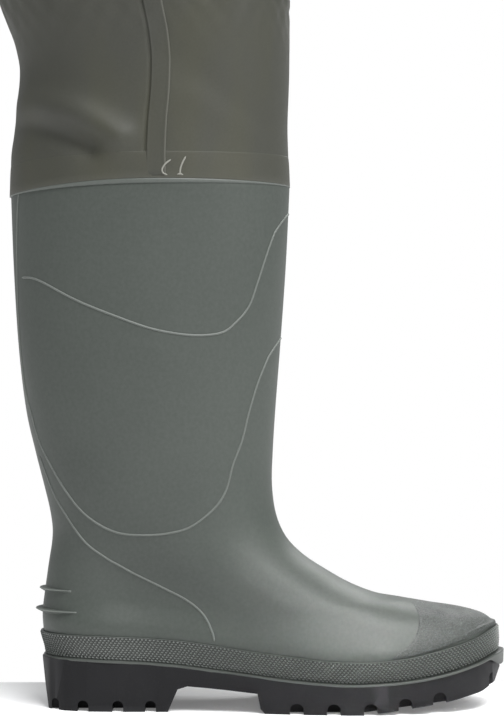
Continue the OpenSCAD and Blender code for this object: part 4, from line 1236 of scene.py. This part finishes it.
# Middle line of the tab's webbing, (y, z) in a buckle's own frame: up the bib, round the bar and down again
TAB_PATH = [(4.2, 1233), (4.2, 1262), (4.2, 1289), (3.8, 1299), (3, 1306.4), (0, 1309.4), (-3, 1307.4),
            (-3.6, 1303), (-2.4, 1297), (1.2, 1289), (2.2, 1284), (2.2, 1262), (2.2, 1233)]
TAB_SEWN = 48             # the stitches start this far above the tab's lower end


def buckle_tab(side):
    y, z = along(TAB_PATH, np.linspace(0, len(TAB_PATH) - 1, 110)).T
    path = at_brace(np.stack([0 * y, y, z], -1))
    across = at_brace(np.array([[1.0, 0, 0]])) - at_brace(np.array([[0.0, 0, 0]]))
    strap(side + "_buckle_tab_webbing", path, np.tile(across, (len(path), 1)), "root", "webbing", WEB,
          thickness=1.6, side=side, node=side + "_buckle_tab")
    count = 24
    top = path[-1] - unit(path[-1] - path[-12]) * TAB_SEWN
    box = np.stack([mix(path[-1], top, t) for t in np.linspace(0, 1, count)])
    sewn = box_stitches(box, np.tile(across, (count, 1)), 3, 26)
    piece(side + "_tab_stitching", *sewn, "root", "webbing", THREAD, side)


BELT_F, BELT_MOUTH, BELT_A, BELT_ROUND = 227.0, 12.0, 231.5, 2.7
BELT_B = BELT_F - LOOP_Y - TORSO_F
TONGUE_BAR, SOCKET_BAR = BELT_MOUTH + 14, BELT_MOUTH - 39


def belt_wrap(low, high, count):
    """Places (x, f) round the body, from one angle in degrees to another; 0 is the front middle."""
    a = np.radians(np.linspace(low, high, count))
    e = 2 / BELT_ROUND
    return np.stack([BELT_A * np.sign(np.sin(a)) * np.abs(np.sin(a)) ** e,
                     TORSO_F + BELT_B * np.sign(np.cos(a)) * np.abs(np.cos(a)) ** e], -1).tolist()


def belt_piece(name, route, body, node=None):
    route = np.array(route, float)
    run = travelled(route)
    route = read_at(np.linspace(0, run[-1], max(3, int(run[-1] / 2.2))), run, route)
    for _ in range(3):
        route[1:-1] = (route[:-2] + 2 * route[1:-1] + route[2:]) / 4
    path = np.stack([route[:, 0], HEEL_Y - route[:, 1], np.full(len(route), WAIST_Z)], -1)
    return strap(name, path, np.tile([0.0, 0.0, 1.0], (len(path), 1)), body, "webbing", WEB, node=node)


def belt():
    out, back = BELT_F + LOOP_Y, BELT_F - LOOP_Y
    tongue_turn = [(TONGUE_BAR - 1, out), (TONGUE_BAR - 3.4, out - 1), (TONGUE_BAR - 4.4, BELT_F),
                   (TONGUE_BAR - 3.4, back + 1), (TONGUE_BAR - 1, back)]
    socket_turn = [(SOCKET_BAR + 1, back), (SOCKET_BAR + 3.4, back + 1), (SOCKET_BAR + 4.4, BELT_F),
                   (SOCKET_BAR + 3.4, out - 1), (SOCKET_BAR + 1, out)]
    belt_piece("belt_fold", [(96, out), (TONGUE_BAR + 6, out)] + tongue_turn[:3], "belt_tongue")
    lead = belt_piece("belt_lead", tongue_turn[2:] + [(TONGUE_BAR + 6, back), (102, back)]
                      + belt_wrap(28, 90, 40), None, "wading_belt")
    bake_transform(lead)
    belt_piece("belt_body", belt_wrap(90, 332, 160) + [(-90, back), (SOCKET_BAR - 6, back)] + socket_turn
               + [(SOCKET_BAR - 6, out), (-60, out)], "root", "wading_belt")


LOOP_X, LOOP_W, LOOP_T = 150.0, 16, 1.2


def belt_loops():
    half = STRAP_W / 2
    profile = [[4.4, -half - 14], [4.4, -half - 5], [6.5, -half - 2.5], [13, -half - 1], [14, 0],
               [13, half + 1], [6.5, half + 2.5], [4.4, half + 5], [4.4, half + 14]]
    line = along(profile, np.linspace(0, len(profile) - 1, 70))
    parts, stitches, cloths = [], [], []
    f = torso_f(LOOP_X, WAIST_Z) - TORSO_F
    a, b = smooth(TORSO, WAIST_Z, 1), smooth(TORSO, WAIST_Z, 2)
    turn = math.atan2((LOOP_X / a) ** (TORSO_ROUND - 1) / a, (f / b) ** (TORSO_ROUND - 1) / b)
    for way in (1, -1):
        for side in (1, -1):
            out = np.array([side * math.sin(turn), -way * math.cos(turn), 0])
            centre = np.array([side * LOOP_X, HEEL_Y - (TORSO_F + way * f), WAIST_Z])
            path = centre + out * line[:, :1] + np.array([0, 0, 1.0]) * line[:, 1:]
            across = np.cross(out, [0, 0, 1.0])
            points, faces, cloth = ribbon(path, np.tile(across, (len(path), 1)), LOOP_W, LOOP_T)
            parts.append((points, faces))
            cloths.append(cloth)
            for end in (-half - 9, half + 9):
                bar = centre + out * 5.0 + np.array([0, 0, end]) + across * np.linspace(-6, 6, 12)[:, None]
                stitches.append(dashes(bar, np.tile(out, (12, 1)), 1.5, 1.2))
    points, faces, _ = joined(parts)
    piece("belt_loop_straps", points, faces, "root", "coated_fabric", TAPE, cloth=np.concatenate(cloths),
          node="belt_loops")
    piece("belt_loop_stitching", *joined(stitches)[:2], "root", "coated_fabric", THREAD)


# ---- Assembly ----

# Parts that both boots share: piece, part, slot, material, CAD node
BOOT_PARTS = [("_boot_shell", boot_shell(), "boot_pvc", BOOT_PVC, "_boot_upper"),
              ("_heel_ribs", joined([heel_rib(*rib) for rib in RIBS]), "boot_pvc", BOOT_PVC, "_heel_spurs"),
              ("_studded_band", foxing_band(), "band_pvc", BAND_PVC, "_foxing_band"),
              ("_grained_toe", toe_cap(), "band_pvc", TOE_PVC, "_toe_cap")]
LINING_GAP, LINING_T, SOCK_HALF_ROUND = 0.4, 1.0, 170
lining = boot_grid(np.linspace(1.6, 17.4, 70), ring_u[::2], -BOOT_WALL - LINING_GAP)

for side in ("right", "left"):
    for name, (points, faces, painted_light), slot, material, node in BOOT_PARTS:
        made = piece(side + name, points, faces, "root", slot, material, side, painted_light=painted_light, x=-STANCE,
                     node=side + node)
        if name == "_studded_band":
            sharpen(made, 35)
    faces = quads(*lining.shape[:2], wrap=True)
    sock = piece(side + "_knit_sock", lining, faces, "root", "knit_lining", KNIT, side,
                 cloth=paired((ring_u[::2] * SOCK_HALF_ROUND)[None], lining[:, :1, 2]),
                 x=-STANCE, node=side + "_boot_lining")
    thicken(sock, LINING_T)
    pad = piece(side + "_felt_insole", *felt_insole(), "root", "insole_felt", FELT, side, x=-STANCE,
                node=side + "_insole")
    leg_panel(side, "front")
    leg_panel(side, "back")
    weld_cuff(side)
    seam_tape(side + "_side_seam_tape", side, True, 984, side + "_side_seam")
    seam_tape(side + "_inseam_tape", side, False, 690, side + "_inseam")
    braces(side)
    buckle_tab(side)

bib_panel("front")
bib_panel("back")
rise_tape("front")
rise_tape("back")
top_hem()
back_yoke()
chest_pocket()
pocket_flap()
belt()
belt_loops()


SHARP_DEGREES, BEVEL_DEGREES = 28, 32    # edges of a CAD node sharper than this stay sharp, or are rounded


def shading():
    """Nodes that weld an imported part and shade it smooth except across its real edges."""
    tree = bpy.data.node_groups.new("part_shading", "GeometryNodeTree")
    tree.interface.new_socket("Geometry", in_out="INPUT", socket_type="NodeSocketGeometry")
    tree.interface.new_socket("Geometry", in_out="OUTPUT", socket_type="NodeSocketGeometry")
    start, end = tree.nodes.new("NodeGroupInput"), tree.nodes.new("NodeGroupOutput")
    bare = tree.nodes.new("GeometryNodeRemoveAttribute")
    bare.inputs["Name"].default_value = "custom_normal"
    weld = tree.nodes.new("GeometryNodeMergeByDistance")
    weld.inputs["Distance"].default_value = 0.00001
    angle = tree.nodes.new("GeometryNodeInputMeshEdgeAngle")
    sharp = tree.nodes.new("FunctionNodeCompare")
    sharp.inputs["B"].default_value = math.radians(SHARP_DEGREES)
    faces, edges = (tree.nodes.new("GeometryNodeSetShadeSmooth") for _ in range(2))
    faces.domain, edges.domain = "FACE", "EDGE"
    edges.inputs["Shade Smooth"].default_value = False
    tree.links.new(angle.outputs["Unsigned Angle"], sharp.inputs["A"])
    tree.links.new(sharp.outputs[0], edges.inputs["Selection"])
    for a, b in zip((start, bare, weld, faces, edges), (bare, weld, faces, edges, end)):
        tree.links.new(a.outputs[0], b.inputs[0])
    return tree


SHADING = shading()
# CAD nodes that show as they are: material, slot, width of their rounded edges in mm
TONGUE, SOCKET = (PLASTIC, "buckle_plastic", 0.5), (PLASTIC, "buckle_plastic", 0.6)
PAIRS = {"outsole": (SOLE_PVC, "sole_pvc", 0.7), "brace_adjuster": TONGUE, "buckle_tongue": TONGUE,
         "buckle_socket": SOCKET}
KEPT = {side + "_" + key: value for key, value in PAIRS.items() for side in ("right", "left")}
KEPT.update({"belt_buckle_socket": SOCKET, "belt_buckle_tongue": TONGUE, "belt_slider": TONGUE,
             "pocket_stud": (METAL, "snap_metal", 0.25), "flap_snap": (METAL, "snap_metal", 0.3)})
for name, (material, slot, bevel_mm) in KEPT.items():
    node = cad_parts[name]
    node.data.materials.clear()
    node.data.materials.append(material)
    node.modifiers.new("shading", "NODES").node_group = SHADING
    bevel = node.modifiers.new("edges", "BEVEL")
    bevel.width, bevel.segments, bevel.limit_method = bevel_mm * MM, 2, "ANGLE"
    bevel.angle_limit = math.radians(BEVEL_DEGREES)
    bevel.harden_normals = False

# ---- Floor and light ----

# The floor, in metres: half its side, and where it fades to white
REACH, FADE_FROM, FADE_TO = 9.0, 0.5, 2.4
m = Finish("floor")
grey = m.blend(m.noise(3, 3), (0.83, 0.83, 0.835), (0.86, 0.86, 0.865))
ground = m.node("ShaderNodeNewGeometry").outputs["Position"]
distance = m.node("ShaderNodeVectorMath", {0: ground}, operation="LENGTH").outputs["Value"]
away, glow = m.span(distance, FADE_FROM, FADE_TO), m.span(distance, FADE_FROM, FADE_TO, 0.16, 1.0)
floor_mesh = bpy.data.meshes.new("floor")
floor_mesh.from_pydata([(-REACH, -REACH, 0), (REACH, -REACH, 0), (REACH, REACH, 0), (-REACH, REACH, 0)],
                       [], [(0, 1, 2, 3)])
floor_mesh.materials.append(m.done(
    m.blend(away, grey, (0, 0, 0)), 0.8, m.noise(40, 3), 0.02, Specular_IOR_Level=0.1,
    Emission_Color=(1, 1, 1, 1), Emission_Strength=glow))
floor = bpy.data.objects.new("floor", floor_mesh)
bpy.context.scene.collection.objects.link(floor)

world = bpy.data.worlds.new("studio")
world.use_nodes = True
bpy.context.scene.world = world
sky = world.node_tree
sky.nodes.clear()
seen, light = sky.nodes.new("ShaderNodeBackground"), sky.nodes.new("ShaderNodeBackground")
seen.inputs["Color"].default_value = (1, 1, 1, 1)
light.inputs["Color"].default_value = (0.97, 0.985, 1, 1)
light.inputs["Strength"].default_value = 0.5
path, choose, end = (sky.nodes.new(kind) for kind in
                     ("ShaderNodeLightPath", "ShaderNodeMixShader", "ShaderNodeOutputWorld"))
sky.links.new(path.outputs["Is Camera Ray"], choose.inputs[0])
sky.links.new(light.outputs[0], choose.inputs[1])
sky.links.new(seen.outputs[0], choose.inputs[2])
sky.links.new(choose.outputs[0], end.inputs[0])


def softbox(name, at, target, size, power, spread=180):
    data = bpy.data.lights.new(name, "AREA")
    data.shape, data.size, data.size_y = "RECTANGLE", size[0], size[1]
    data.energy, data.spread = power, math.radians(spread)
    lamp = bpy.data.objects.new(name, data)
    lamp.location = at
    lamp.rotation_euler = (Vector(target) - Vector(at)).to_track_quat("-Z", "Y").to_euler()
    bpy.context.scene.collection.objects.link(lamp)


softbox("key", (-2.0, -2.4, 2.0), (0, -0.15, 0.1), (1.2, 1.4), 30)
softbox("side", (-1.75, -0.9, 3.1), (0, -0.1, 0.1), (1.8, 1.6), 135)
softbox("over", (-0.5, -0.5, 3.4), (0, 0, 0), (2.6, 2.6), 45)
softbox("foot", (-1.5, -0.3, 0.6), (-0.1, -0.1, 0.045), (0.12, 0.12), 0.065, spread=7)
softbox("rim", (2.2, -1.2, 2.0), (0, 0, 0.6), (1.4, 1.4), 32)
bpy.context.scene.view_settings.view_transform = "Standard"
